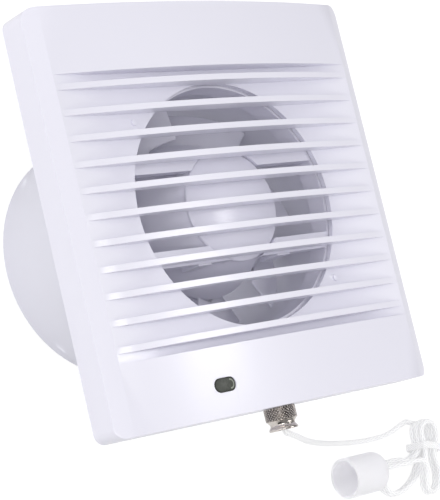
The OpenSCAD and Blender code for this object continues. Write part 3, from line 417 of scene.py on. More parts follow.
class Graph:
    """Adds nodes to a node tree from left to right and links them as they are added."""

    def __init__(self, tree: bpy.types.NodeTree) -> None:
        """Starts on an emptied tree."""
        self.tree = tree
        self.tree.nodes.clear()

    def add(self, kind: str, inputs: dict | None = None, **settings: object) -> bpy.types.Node:
        """Adds a node.

        Args:
            kind: the node's type.
            inputs: what each input is set to, or the socket that it is linked to.
            settings: the node's own properties, set before its inputs.

        Returns:
            The node.
        """
        node = self.tree.nodes.new(kind)
        node.location = (180 * len(self.tree.nodes), 0)
        for key, value in settings.items():
            setattr(node, key, value)
        for key, value in (inputs or {}).items():
            if isinstance(value, Socket):
                self.tree.links.new(value, node.inputs[key])
            else:
                node.inputs[key].default_value = value
        return node

    def math(self, operation: str, a: Value, b: Value = 0.0, c: Value = 0.0) -> Socket:
        """The output of a Math node."""
        return self.add("ShaderNodeMath", {0: a, 1: b, 2: c}, operation=operation).outputs[0]

    def total(self, a: Value, share_a: float, b: Value, share_b: float) -> Socket:
        """The sum of two values, each multiplied by its share."""
        return self.math("MULTIPLY_ADD", a, share_a, self.math("MULTIPLY", b, share_b))

    def between(self, value: Value, low: float, high: float) -> Socket:
        """A value from 0 to 1 as one from low to high."""
        inputs = {"Value": value, "To Min": low, "To Max": high}
        return self.add("ShaderNodeMapRange", inputs).outputs["Result"]

    def mixed(self, share: Value, a: tuple | Socket, b: tuple | Socket) -> Socket:
        """The mix of two colours."""
        return self.add("ShaderNodeMix", {"Factor": share, 6: a, 7: b}, data_type="RGBA").outputs[2]

    def noise(self, place: Socket, scale: Value, detail: float = 2.0, roughness: float = 0.5) -> Socket:
        """The value of a Noise Texture."""
        inputs = {"Vector": place, "Scale": scale, "Detail": detail, "Roughness": roughness}
        return self.add("ShaderNodeTexNoise", inputs).outputs["Fac"]

    def coordinates(self, kind: str = "Object") -> Socket:
        """The object coordinates, which are the CAD frame's, or another kind."""
        return self.add("ShaderNodeTexCoord").outputs[kind]

    def split(self, place: Socket) -> list[Socket]:
        """The three parts of a place."""
        return self.add("ShaderNodeSeparateXYZ", {0: place}).outputs[:]

    def stretched(self, place: Socket, scale: tuple) -> Socket:
        """A place multiplied by three factors."""
        return self.add("ShaderNodeVectorMath", {0: place, 1: scale}, operation="MULTIPLY").outputs[0]

    def relief(self) -> Socket:
        """The height that a piece's own points carry, from 0 to 1."""
        return self.add("ShaderNodeAttribute", attribute_name="relief").outputs["Fac"]

    def bumped(self, height: Socket, distance: float) -> Socket:
        """The normal of a Bump node."""
        inputs = {"Height": height, "Distance": distance, "Strength": 1.0}
        return self.add("ShaderNodeBump", inputs).outputs[0]

    def finish(self, shader: bpy.types.Node, kind: str = "Material") -> None:
        """Ends the graph with a shader, as a material or as a world."""
        self.add(f"ShaderNodeOutput{kind}", {"Surface": shader.outputs[0]})


@dataclass(frozen=True)
class NoiseGroup:
    """A node group that gives the sum of two noises of a place, and their product as wear."""

    name: str
    scale: float  # the first noise's scale, where none is given
    first: tuple  # the first noise's detail, roughness and share of the sum
    second: tuple  # the same for the second noise
    factor: float  # how many times as fine the second noise is
    wear_power: float = 1.5

    def build(self) -> bpy.types.NodeTree:
        """Builds the group.

        Returns:
            Its tree, with the inputs Place and Scale and the outputs Sum and Wear.
        """
        tree = bpy.data.node_groups.new(self.name, "ShaderNodeTree")
        tree.interface.new_socket("Place", in_out="INPUT", socket_type="NodeSocketVector")
        size = tree.interface.new_socket("Scale", in_out="INPUT", socket_type="NodeSocketFloat")
        size.default_value = self.scale
        for label in ("Sum", "Wear"):
            tree.interface.new_socket(label, in_out="OUTPUT", socket_type="NodeSocketFloat")
        graph = Graph(tree)
        given = graph.add("NodeGroupInput").outputs
        (detail_a, rough_a, share_a), (detail_b, rough_b, share_b) = self.first, self.second
        a = graph.noise(given["Place"], given["Scale"], detail_a, rough_a)
        finer = graph.math("MULTIPLY", given["Scale"], self.factor)
        b = graph.noise(given["Place"], finer, detail_b, rough_b)
        wear = graph.math("POWER", graph.math("MULTIPLY", a, b), self.wear_power)
        graph.add("NodeGroupOutput", {"Sum": graph.total(a, share_a, b, share_b), "Wear": wear})
        return tree


class Effect(Enum):
    """The node groups that several materials share."""

    HANDLING = NoiseGroup("Handling", 20.0, (3.0, 0.55, 0.7), (4.0, 0.6, 0.3), 7.0)  # soft uneven patches
    GRAIN = NoiseGroup("Grain", 2500.0, (3.0, 0.6, 0.6), (2.0, 0.5, 1.4), 0.02)  # a mould's grain and ripple
    BRUSHING = NoiseGroup("Brushing", 1.0, (4.0, 0.65, 0.65), (2.0, 0.5, 0.35), 2.3)  # fine lines


class MaterialGraph(Graph):
    """The graph of a new material, which knows its place and the shared groups."""

    def __init__(self, name: str, groups: dict | None = None) -> None:
        """Starts the material.

        Args:
            name: its name.
            groups: the tree of each effect, where it uses them.
        """
        self.material = bpy.data.materials.new(name)
        self.material.use_nodes = True
        super().__init__(self.material.node_tree)
        self.groups = groups
        self.place = self.coordinates()

    def effect(self, effect: Effect, scale: float, place: Socket | None = None) -> dict[str, Socket]:
        """The outputs of a shared group at a scale, read at the object's place or another."""
        inputs = {"Place": self.place if place is None else place, "Scale": scale}
        return self.add("ShaderNodeGroup", inputs, node_tree=self.groups[effect]).outputs

    def patches(self, scale: float) -> Socket:
        """Soft uneven patches, so many a metre."""
        return self.effect(Effect.HANDLING, scale)["Sum"]


def shade(colour: tuple, factor: float = 1.0) -> tuple:
    """A colour multiplied by a factor, with its alpha."""
    return tuple(min(1.0, c * factor) for c in colour) + (1.0,)


Pattern = tuple[Socket, Socket, Socket, float]


@dataclass(frozen=True)
class Finish:
    """Moulded plastic, and what all finishes share."""

    name: str
    colour: tuple  # the linear base colour
    roughness: float = 0.35  # the mean roughness
    metallic: float = 0.0  # 1 for bare metal
    tone: float = 0.03  # how far the colour moves round its mean, as a share
    grain_depth: float = 0.000006  # the height of the fine grain, in metres
    grain_scale: float = 2500.0  # grains a metre
    coat: float = 0.0  # the share of a clear glossy skin
    extra: tuple = ()  # other inputs of the shader, each with its value

    def toned(self, graph: Graph, share: Value, low: float, high: float) -> Socket:
        """The base colour times low to high, as the share goes from 0 to 1."""
        return graph.mixed(share, shade(self.colour, low), shade(self.colour, high))

    def rough(self, graph: Graph, value: Value, low: float, high: float) -> Socket:
        """The mean roughness times low to high, as the value goes from 0 to 1."""
        return graph.between(value, self.roughness * low, min(1.0, self.roughness * high))

    def pattern(self, graph: MaterialGraph) -> Pattern:
        """What changes over the surface. Here it is soft patches and a fine grain.

        Args:
            graph: the material's graph.

        Returns:
            The colour, the roughness and the height of the surface, and the height's depth in metres.
        """
        handled = graph.effect(Effect.HANDLING, 22.0)
        colour = self.toned(graph, handled["Sum"], 1 - self.tone, 1 + self.tone)
        rough = self.rough(graph, handled["Wear"], 0.95, 1.25)
        height = graph.effect(Effect.GRAIN, self.grain_scale)["Sum"]
        return colour, rough, height, self.grain_depth

    def build(self, groups: dict) -> bpy.types.Material:
        """Builds the Blender material.

        Args:
            groups: the tree of each effect.

        Returns:
            The material.
        """
        graph = MaterialGraph(self.name, groups)
        colour, rough, height, depth = self.pattern(graph)
        shader = graph.add("ShaderNodeBsdfPrincipled", {
            "Base Color": colour,
            "Roughness": rough,
            "Metallic": self.metallic,
            "Coat Weight": self.coat,
            "Coat Roughness": 0.12,
            "Normal": graph.bumped(height, depth),
            **dict(self.extra),
        })
        graph.finish(shader)
        return graph.material


@dataclass(frozen=True)
class Brushed(Finish):
    """Metal with fine lines drawn along one axis."""

    metallic: float = 1.0
    stretch: tuple = (900.0, 900.0, 30.0)  # how fast the lines change along each axis
    lines: float = 0.12  # how strongly the lines show in the colour

    def pattern(self, graph: MaterialGraph) -> Pattern:
        """Drawn lines over soft patches.

        Args:
            graph: the material's graph.

        Returns:
            The colour, the roughness, the height and its depth.
        """
        lines = graph.effect(Effect.BRUSHING, 1.0, graph.stretched(graph.place, self.stretch))["Sum"]
        share = graph.total(lines, 0.6, graph.patches(60.0), 0.4)
        colour = self.toned(graph, share, 1 - self.lines, 1 + self.lines)
        return colour, self.rough(graph, share, 0.7, 1.4), lines, self.grain_depth


@dataclass(frozen=True)
class Knurled(Brushed):
    """Drawn metal with painted shade in its knurl's grooves, read from the relief of its own teeth."""

    # Painted shade: the colour that the knurl's grooves darken to
    groove_shade: tuple = (0.13, 0.115, 0.105)  # the grooves' colour

    def pattern(self, graph: MaterialGraph) -> Pattern:
        """The drawn lines, with painted shade where the relief is low.

        Args:
            graph: the material's graph.

        Returns:
            The colour, the roughness, the height and its depth.
        """
        colour, rough, lines, depth = super().pattern(graph)
        # Painted shade in the knurl's grooves, strongest where the relief is lowest
        groove = graph.between(graph.math("POWER", graph.relief(), 1.6), 1.0, 0.0)
        groove_shaded = graph.mixed(graph.math("MULTIPLY", groove, 0.75), colour, shade(self.groove_shade))
        return groove_shaded, rough, lines, depth


@dataclass(frozen=True)
class Stacked(Finish):
    """Thin layers one on another, such as laminations or the turns of a winding."""

    metallic: float = 1.0
    pitch: float = 0.0005  # the thickness of a layer

    def pattern(self, graph: MaterialGraph) -> Pattern:
        """Rounded ridges |sin(pi z / pitch)|, broken up by patches.

        Args:
            graph: the material's graph.

        Returns:
            The colour, the roughness, the height and its depth.
        """
        turns = graph.math("MULTIPLY", graph.split(graph.place)[2], math.pi / self.pitch)
        wave = graph.math("ABSOLUTE", graph.math("SINE", turns))
        patches = graph.patches(150.0)
        share = graph.math("MULTIPLY", wave, graph.between(patches, 0.7, 1.3))
        colour = self.toned(graph, share, 0.45, 1.1)
        return colour, self.rough(graph, patches, 0.8, 1.3), wave, self.pitch * 0.3


@dataclass(frozen=True)
class Speckled(Finish):
    """Grains of two tones, such as sintered metal, felt or soft rubber."""

    second: tuple = (0.5, 0.5, 0.5)  # the other grains' colour
    spot_scale: float = 1800.0  # spots a metre

    def pattern(self, graph: MaterialGraph) -> Pattern:
        """Noise grains mixed between the two colours.

        Args:
            graph: the material's graph.

        Returns:
            The colour, the roughness, the height and its depth.
        """
        spots = graph.noise(graph.place, self.spot_scale, 5.0, 0.7)
        colour = graph.mixed(graph.between(spots, -0.4, 1.4), shade(self.colour), shade(self.second))
        return colour, self.rough(graph, spots, 0.85, 1.15), spots, self.grain_depth


@dataclass(frozen=True)
class Circuit(Finish):
    """A solder-masked board with raised tracks."""

    track: tuple = (0.16, 0.38, 0.2)  # the colour over a track
    pitch: float = 0.0022  # the distance between tracks
    track_height: float = 0.00003

    def pattern(self, graph: MaterialGraph) -> Pattern:
        """Tracks as bands, crossed by a slow wave so that they jog.

        Args:
            graph: the material's graph.

        Returns:
            The colour, the roughness, the height and its depth.
        """
        x, y, _ = graph.split(graph.place)
        jog = graph.math("MULTIPLY", graph.math("SINE", graph.math("MULTIPLY", x, 900.0)), 0.0006)
        band = graph.math("SINE", graph.math("MULTIPLY", graph.math("ADD", y, jog), TURN / self.pitch))
        track = graph.math("GREATER_THAN", band, 0.35)
        patches = graph.patches(200.0)
        colour = graph.mixed(track, shade(self.colour), shade(self.track))
        return colour, self.rough(graph, patches, 0.8, 1.3), track, self.track_height


@dataclass(frozen=True)
class Braid(Finish):
    """Braided cord, read from the relief of its own strands, with painted shade between the strands and a
    faint painted glow.
    """

    # Painted shade: the colour in the grooves between the strands
    groove: tuple = (0.6, 0.6, 0.62)  # the colour between the strands
    extra: tuple = (  # the little light that passes through the fibres, and a painted glow that lightens the cord
        ("Subsurface Weight", 0.2), ("Subsurface Scale", 0.001), ("Subsurface Radius", (1.0, 1.0, 1.0)),
        ("Sheen Weight", 0.2), ("Emission Color", (1.0, 1.0, 1.0, 1)), ("Emission Strength", 0.1),
    )

    def pattern(self, graph: MaterialGraph) -> Pattern:
        """Painted shade in the grooves between the strands, and fine filaments along them.

        Args:
            graph: the material's graph.

        Returns:
            The colour, the roughness, the height and its depth.
        """
        raised = graph.math("POWER", graph.relief(), 0.55)
        uv = graph.stretched(graph.coordinates("UV"), (34.0, 2600.0, 1.0))
        filaments = graph.noise(uv, 1.0, 3.0, 0.6)
        patches = graph.patches(90.0)
        share = graph.math("MULTIPLY", graph.between(raised, 0.0, 1.0), graph.between(patches, 0.94, 1.06))
        # Painted shade: the colour falls to the groove colour between the strands
        colour = graph.mixed(share, shade(self.groove), shade(self.colour))
        return colour, self.rough(graph, filaments, 0.85, 1.15), filaments, self.grain_depth


@dataclass(frozen=True)
class Frosted(Finish):
    """Translucent plastic that scatters light inside its wall and lets some through, with a faint painted
    glow.
    """

    extra: tuple = (
        ("Subsurface Weight", 0.6), ("Subsurface Scale", 0.004), ("Subsurface Radius", (1.0, 1.0, 1.0)),
        ("Transmission Weight", 0.35), ("IOR", 1.3),
        # A painted glow: the emission lightens the bell though nothing lights it from inside
        ("Emission Color", (0.96, 0.95, 1.0, 1)), ("Emission Strength", 0.09),
    )


@dataclass(frozen=True)
class SmokedLens(Finish):
    """A smoked lens: black at its rim, with the lamp and board showing dimly through its middle and a painted
    highlight on its right.
    """

    centre: tuple = (0.0, 0.0)  # the middle of the lens, seen from the front
    half: tuple = (0.0046, 0.0025)  # its half width and half height
    inside: tuple = (0.075, 0.08, 0.07)  # the colour that shows through the middle
    mottle_depth: float = 0.000002

    def pattern(self, graph: MaterialGraph) -> Pattern:
        """The rim is (d / half height)^7, with d a place's distance from the middle line of the oval.

        Args:
            graph: the material's graph.

        Returns:
            The colour, the roughness, the height and its depth.
        """
        x, y, _ = graph.split(graph.place)
        from_x = graph.math("ABSOLUTE", graph.math("SUBTRACT", x, self.centre[0]))
        past_x = graph.math("MAXIMUM", graph.math("SUBTRACT", from_x, self.half[0] - self.half[1]), 0.0)
        from_y = graph.math("SUBTRACT", y, self.centre[1])
        square = graph.math("MULTIPLY_ADD", from_y, from_y, graph.math("MULTIPLY", past_x, past_x))
        share = graph.math("DIVIDE", graph.math("SQRT", square), self.half[1])
        share = graph.math("SMOOTH_MIN", share, 1.0, 0.05)
        mottle = graph.noise(graph.place, 900.0, 3.0, 0.6)
        inside = graph.mixed(mottle, shade(self.inside, 0.45), shade(self.inside, 1.55))
        # A painted highlight: a lighter crescent on the right of the lens's inner rim
        highlight_side = graph.math("GREATER_THAN", x, self.centre[0] + 0.4 * self.half[0])
        ring = graph.math("COMPARE", share, 0.62, 0.1)
        inside = graph.mixed(graph.math("MULTIPLY", ring, highlight_side), inside, shade(self.inside, 4.5))
        colour = graph.mixed(graph.math("POWER", share, 7.0), inside, shade(self.colour))
        patches = graph.patches(300.0)
        return colour, self.rough(graph, patches, 0.7, 1.4), mottle, self.mottle_depth


FINISHES = {
    "white_plastic": Finish("WhitePlastic", (0.80, 0.79, 0.88), roughness=0.29, tone=0.008, coat=0.2,
                            grain_depth=0.000002),
    "base_plastic": Finish("BasePlastic", (0.77, 0.765, 0.84), roughness=0.42, tone=0.01,
                           grain_depth=0.000002),
    "lens_plastic": SmokedLens("SmokedLens", (0.004, 0.004, 0.005), roughness=0.38,
                               centre=(-0.030, -0.064)),
    "lamp_plastic": Finish("LampPlastic", (0.72, 0.24, 0.05), roughness=0.15, tone=0.1, coat=0.5),
    "board": Circuit("CircuitBoard", (0.03, 0.13, 0.05), roughness=0.35),
    "nickel": Knurled("WarmNickel", (0.7, 0.65, 0.61), roughness=0.2, stretch=(700.0, 60.0, 700.0),
                      lines=0.1, grain_depth=0.000008),
    "zinc_steel": Brushed("ZincSteel", (0.62, 0.62, 0.64), roughness=0.32, stretch=(1400.0, 1400.0, 200.0)),
    "laminations": Stacked("Laminations", (0.3, 0.31, 0.33), roughness=0.42, pitch=0.0005),
    "bobbin": Finish("BobbinNylon", (0.78, 0.73, 0.6), roughness=0.5, tone=0.06),
    "copper": Stacked("EnamelledCopper", (0.62, 0.25, 0.1), roughness=0.25, pitch=0.00035, coat=0.6),
    "die_cast": Speckled("DieCast", (0.55, 0.56, 0.58), roughness=0.45, metallic=1.0,
                         second=(0.7, 0.7, 0.71)),
    "bronze": Speckled("SinteredBronze", (0.5, 0.35, 0.16), roughness=0.4, metallic=1.0,
                       second=(0.32, 0.22, 0.1), spot_scale=4000.0, grain_depth=0.00001),
    "felt": Speckled("OiledFelt", (0.5, 0.42, 0.27), roughness=0.95, second=(0.68, 0.6, 0.42),
                     spot_scale=3000.0, grain_depth=0.00008),
    "shaft_steel": Brushed("GroundSteel", (0.66, 0.67, 0.69), roughness=0.18, stretch=(40.0, 40.0, 3000.0)),
    "nylon": Finish("NaturalNylon", (0.78, 0.74, 0.64), roughness=0.45, tone=0.05),
    "rubber": Speckled("BlackRubber", (0.018, 0.018, 0.02), roughness=0.75, second=(0.03, 0.03, 0.032)),
    "brown_plastic": Speckled("BrownPhenolic", (0.07, 0.03, 0.014), roughness=0.3,
                              second=(0.11, 0.05, 0.022), spot_scale=700.0),
    "brass_strip": Brushed("BrassStrip", (0.75, 0.56, 0.24), roughness=0.25, stretch=(60.0, 1200.0, 1200.0)),
    "cord": Braid("BraidedCord", (0.99, 0.99, 0.995), roughness=0.7, grain_depth=0.00004),
    "frosted_plastic": Frosted("FrostedPlastic", (0.94, 0.935, 0.96), roughness=0.45, tone=0.02),
}


class Painter:
    """Gives pieces and CAD nodes the finish of their material slot."""

    def __init__(self, record: dict) -> None:
        """Builds each finish once and reads which slot each node has.

        Args:
            record: the CAD model's record.
        """
        groups = {effect: effect.value.build() for effect in Effect}
        self.materials = {slot: finish.build(groups) for slot, finish in FINISHES.items()}
        self.slot_of = {s["node"]: s["material_slot"] for s in record["subparts"]}

    def paint(self, piece: Object, node: str) -> None:
        """Gives a piece the finish of a node's slot.

        Args:
            piece: the piece.
            node: the node's name.
        """
        slot = self.slot_of[node]
        piece.data.materials.clear()
        piece.data.materials.append(self.materials[slot])

    def dress(self, piece: Object, body: Body, *nodes: str) -> Object:
        """Sets a piece on its body in place of CAD nodes and paints it as the first of them.

        Args:
            piece: the piece.
            body: the body that it rides on.
            nodes: the nodes that it stands for.

        Returns:
            The same piece.
        """
        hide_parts(*nodes)
        self.paint(piece, nodes[0])
        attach(piece, body.value)
        LOG.info("%s on %s in %s", piece.name, body.value, self.slot_of[nodes[0]])
        return piece


# Sub-assemblies


@dataclass
class CoverAssembly:
    """The louvred cover with its indicator lens."""

    edge: float = 0.45 * MM  # how far the cover's edges are rounded
    lens_edge: float = 0.25 * MM  # the same for the lens

    def build(self, frame: dict, painter: Painter) -> None:
        """Builds and dresses the cover and the lens."""
        painter.dress(softened(frame, "front_cover", self.edge), Body.FAN, "front_cover")
        painter.dress(softened(frame, "indicator_lens", self.lens_edge, sharp=50), Body.FAN, "indicator_lens")


@dataclass
class FrameAssembly:
    """The base frame with its spigot, the motor bracket and the domed cap over the motor."""

    edge: float = 0.4 * MM  # how far the mouldings' edges are rounded
    cap_r: float = 20.9 * MM
    cap_seat: float = 81.4 * MM  # where the cap's edge rests on the motor housing
    cap_edge: float = 1.2 * MM  # the height of that edge
    cap_rise: float = 2.8 * MM  # the dome's rise over its edge
    cap_wall: float = 1.4 * MM
    cap_round: float = 0.7 * MM  # the rounding between the dome and its edge
    skirt_r: float = 18.8 * MM  # the outer radius of the skirt inside the housing
    skirt_wall: float = 1.3 * MM
    skirt_len: float = 2.0 * MM
    skirt_round: float = 0.2 * MM
    rim: float = 0.9 * MM  # the band round the dome that its rounded edge takes up

    def hub_cap(self) -> Object:
        """Builds the cap: a shallow dome, z = top - r^2 / (2 R), with a rounded edge and a skirt.

        Returns:
            The cap.
        """
        dome_r = (self.cap_r**2 + self.cap_rise**2) / (2 * self.cap_rise)
        top = self.cap_seat + self.cap_edge + self.cap_rise
        inner_r = self.skirt_r - self.skirt_wall
        skirt_end = self.cap_seat - self.skirt_len

        def dome(radius: float | Points, below: float) -> float | Points:
            """The dome's height at a radius, at a depth below its outside."""
            return top - below - radius**2 / (2 * dome_r)

        outer_radius = np.linspace(0, self.cap_r - self.rim, 14)
        inner_radius = np.linspace(inner_r, 0, 12)
        edge = rounded_outline([
            (outer_radius[-1], dome(outer_radius[-1], 0), 0),
            (self.cap_r, dome(self.cap_r, 0), self.cap_round),
            (self.cap_r, self.cap_seat, 0.25 * MM),
            (self.skirt_r, self.cap_seat, 0),
            (self.skirt_r, skirt_end, self.skirt_round),
            (inner_r, skirt_end, self.skirt_round),
            (inner_r, dome(inner_r, self.cap_wall), 0),
        ], closed=False)
        outline = np.concatenate([
            np.stack([outer_radius[:-1], dome(outer_radius[:-1], 0)], axis=1),
            edge,
            np.stack([inner_radius[1:], dome(inner_radius[1:], self.cap_wall)], axis=1),
        ])
        return revolved("hub_cap_skin", outline, DUCT_AXIS, columns=128, closed=False)

    def build(self, frame: dict, painter: Painter) -> None:
        """Builds and dresses the three mouldings.

        Args:
            painter: what paints them.
        """
        for node in ("base_frame", "motor_bracket"):
            painter.dress(softened(frame, node, self.edge), Body.FAN, node)
        painter.dress(self.hub_cap(), Body.FAN, "hub_cap")


@dataclass
class Impeller:
    """The hub cup round the motor with its twisted blades."""

    blades: int = 7
    phase: float = 45.6  # the angle of the first blade's leading edge, in degrees
    span: float = 48.0  # the angle that a blade covers from its leading edge back
    lag: float = 2.5  # how far the blade's middle bends against the turn at its root
    tip_r: float = 44.0 * MM
    root_r: float = 28.9 * MM  # where the blades start inside the hub's wall
    clear_r: float = 31.0 * MM  # where they start above the hub, clear of the motor housing
    lead_z: float = 64.0 * MM  # the height of the leading edges
    depth: float = 18.0 * MM  # how far the blades go down from there
    power: float = 1.12  # the power of the chord's share in that
    lean: float = 28.0  # the angle between a blade's thickness and the duct's axis, in degrees
    sweep: float = 26.0  # the turn that goes with a thickness of one radius, in degrees
    thick: float = 1.6 * MM  # the greatest thickness
    end_round: float = 0.35 * MM  # the rounding of a blade's two ends
    hub_r: float = 30.0 * MM
    hub_wall: float = 1.6 * MM
    hub_top: float = 58.5 * MM
    hub_bottom: float = 42.0 * MM  # the height of the hub's underside
    floor_t: float = 2.0 * MM
    boss_r: float = 5.5 * MM
    boss_top: float = 54.2 * MM
    bore_r: float = 2.02 * MM

    def camber(self, s: Points, r: float | Points) -> tuple[Points, Points]:
        """The blade's middle surface: its angle in degrees and its height, at a share s of the chord."""
        angle = self.phase + self.span * s + self.lag * np.sin(math.pi * s) * (self.tip_r - r) / self.tip_r
        return angle, self.lead_z - self.depth * s**self.power

    def blade(self, number: int) -> Object:
        """Builds one blade, a closed grid of rows from root to tip by places round the chord.

        At a share s of the chord the half thickness is h = T/2 (0.35 + 0.65 sqrt(sin(pi (0.06 + 0.88 s)))).
        A point is the middle surface plus h times cos(phi) across it and h sin(phi) along it, where phi
        runs round the two edges and is 0 or pi on the faces. Both ends of the blade close on its middle.

        Args:
            number: which blade it is.

        Returns:
            The blade.
        """
        flat = np.linspace(0, 1, 27)
        turn = np.linspace(0, math.pi, 7)[1:-1]
        s = np.concatenate([flat, np.ones(len(turn)), flat[::-1], np.zeros(len(turn))])
        phi = np.concatenate([np.zeros(len(flat)), turn, np.full(len(flat), math.pi), math.pi + turn])
        rise = np.radians([0.0, 30.0, 60.0, 90.0])
        share = np.concatenate([np.zeros(4), np.linspace(0, 1, 13)[1:-1], np.ones(4)])
        fullness = np.concatenate([np.sin(rise), np.ones(11), np.cos(rise)])
        cap = np.concatenate([-np.cos(rise), np.zeros(11), np.sin(rise)]) * self.end_round
        over_hub = smooth_step((self.camber(s, self.root_r)[1] - self.hub_top + 0.9 * MM) / (0.8 * MM))
        start = self.root_r + (self.clear_r - self.root_r) * over_hub + self.end_round
        r = start[None] + (self.tip_r - self.end_round - start)[None] * share[:, None] + cap[:, None]
        half = self.thick / 2 * (0.35 + 0.65 * np.sqrt(np.sin(math.pi * (0.06 + 0.88 * s))))
        half = half[None] * fullness[:, None]
        angle, z = self.camber(s[None], r)
        across = half * np.cos(phi)[None]
        along = half * np.sin(phi)[None]
        # Down the chord the surface falls by its depth while it turns by its span at this radius
        run = np.radians(self.span) * r
        length = np.sqrt(run**2 + self.depth**2)
        theta = np.radians(angle - self.sweep * across / r) + along * run / length / r
        height = z - across * math.cos(math.radians(self.lean)) - along * self.depth / length
        turned = Matrix.Rotation(number * TURN / self.blades, 3, "Z")
        points = DUCT_AXIS.place(r, theta, height) @ np.array(turned).T
        return surface(f"blade_{number}", points, wrap_columns=True)

    def hub(self) -> Object:
        """Builds the hub: a cup with a floor and a boss, its edges rounded.

        Returns:
            The hub.
        """
        inner = self.hub_r - self.hub_wall
        floor = self.hub_bottom + self.floor_t
        outline = rounded_outline([
            (self.bore_r, floor, 0),
            (self.bore_r, self.boss_top, 0.3 * MM),
            (self.boss_r, self.boss_top, 0.4 * MM),
            (self.boss_r, floor + self.floor_t, 0.8 * MM),
            (inner, floor + self.floor_t, 1.2 * MM),
            (inner, self.hub_top, 0.5 * MM),
            (self.hub_r, self.hub_top, 0.7 * MM),
            (self.hub_r, self.hub_bottom, 1.0 * MM),
            (inner, self.hub_bottom, 0.3 * MM),
            (inner, floor, 0.6 * MM),
        ])
        return revolved("impeller_hub", outline, DUCT_AXIS, columns=120)

    def build(self, painter: Painter) -> None:
        """Builds the hub and the blades and joins them as the one moulding that they are."""
        parts = [self.hub()] + [self.blade(i) for i in range(self.blades)]
        painter.dress(join("impeller_skin", parts), Body.ROTOR, "impeller")


@dataclass
class KnurledNut:
    """The nut under the cover: a diamond knurl, a drawn-in waist and a flared mouth."""

    seat: tuple = (0.0, -75.05 * MM, 81.6 * MM)  # the nut's face against the cover
    radius: float = 5.8 * MM  # the knurl's outer radius
    teeth: int = 30  # how many diamonds go round
    knurl_from: float = 0.35 * MM  # where the knurl starts along the axis
    knurl_to: float = 4.45 * MM  # where it ends
    knurl_depth: float = 0.42 * MM
    length: float = 8.3 * MM
    thread_r: float = 5.05 * MM
    thread_len: float = 4.8 * MM
    bore_r: float = 2.7 * MM  # the radius of the cord's way out

    def outline(self) -> Points:
        """Works out the nut's outline.

        Returns:
            Rows of radius and distance along the axis, from the thread out and round.
        """
        r, end = self.radius, self.knurl_to
        waist = np.radians(np.linspace(0, 180, 15))
        neck_r = r - (0.5 + 0.75 * np.sin(waist)) * MM
        neck = np.stack([neck_r, self.length + (-3.4 + 2.6 * waist / math.pi) * MM], axis=1)
        head = np.array([
            [self.thread_r, 0.0], [r - 0.45 * MM, 0.0], [r - 0.12 * MM, 0.12 * MM], [r, self.knurl_from],
        ])
        knurl = np.stack([np.full(33, r), np.linspace(self.knurl_from, end, 33)], axis=1)
        shoulder = np.array([[r - 0.1 * MM, end + 0.12 * MM], [r - 0.42 * MM, end + 0.3 * MM]])
        lip = rounded_outline([
            (r - 0.52 * MM, self.length - 0.6 * MM, 0),
            (r - 0.35 * MM, self.length, 0.3 * MM),
            (r - 1.5 * MM, self.length, 0.3 * MM),
            (self.bore_r, self.length - 2.4 * MM, 0.4 * MM),
            (self.bore_r, self.thread_len, 0.1 * MM),
            (self.thread_r, self.thread_len, 0.1 * MM),
            (self.thread_r, 0.0, 0),
        ], closed=False)
        return np.concatenate([head, knurl[1:], shoulder, neck, lip[1:-1]])

    def build(self, painter: Painter) -> None:
        """Cuts the knurl into the nut and dresses it.

        With a = n angle / 2 pi and b = distance / pitch, the knurl stands min(T(a + b), T(a - b)) of its
        depth above the grooves, where T(x) = 1 - |2 frac(x) - 1| rises from 0 to 1 and falls back.

        Args:
            painter: what paints it.
        """
        radius, along = np.hsplit(self.outline(), 2)
        columns = self.teeth * 8
        angle = (np.arange(columns) * TURN / columns)[None]
        a, b = self.teeth * angle / TURN, along * self.teeth / (TURN * self.radius)

        def ridge(x: Points) -> Points:
            """T(x)."""
            return 1 - np.abs(2 * (x % 1.0) - 1)

        diamond = np.minimum(ridge(a + b), ridge(a - b))
        slack = 0.01 * MM
        on_knurl = (radius > self.radius - 0.05 * MM) & (along > self.knurl_from - slack)
        on_knurl = on_knurl & (along < self.knurl_to + slack)
        height = np.where(on_knurl, np.minimum(1.0, 1.5 * diamond), 1.0)
        axis = Axis(self.seat, (0, -1, 0), (1, 0, 0))
        points = axis.place(radius - self.knurl_depth * (1 - height), angle, along)
        nut = surface("switch_nut_skin", points, wrap_rows=True, wrap_columns=True, relief=height)
        painter.dress(nut, Body.FAN, "switch_nut")


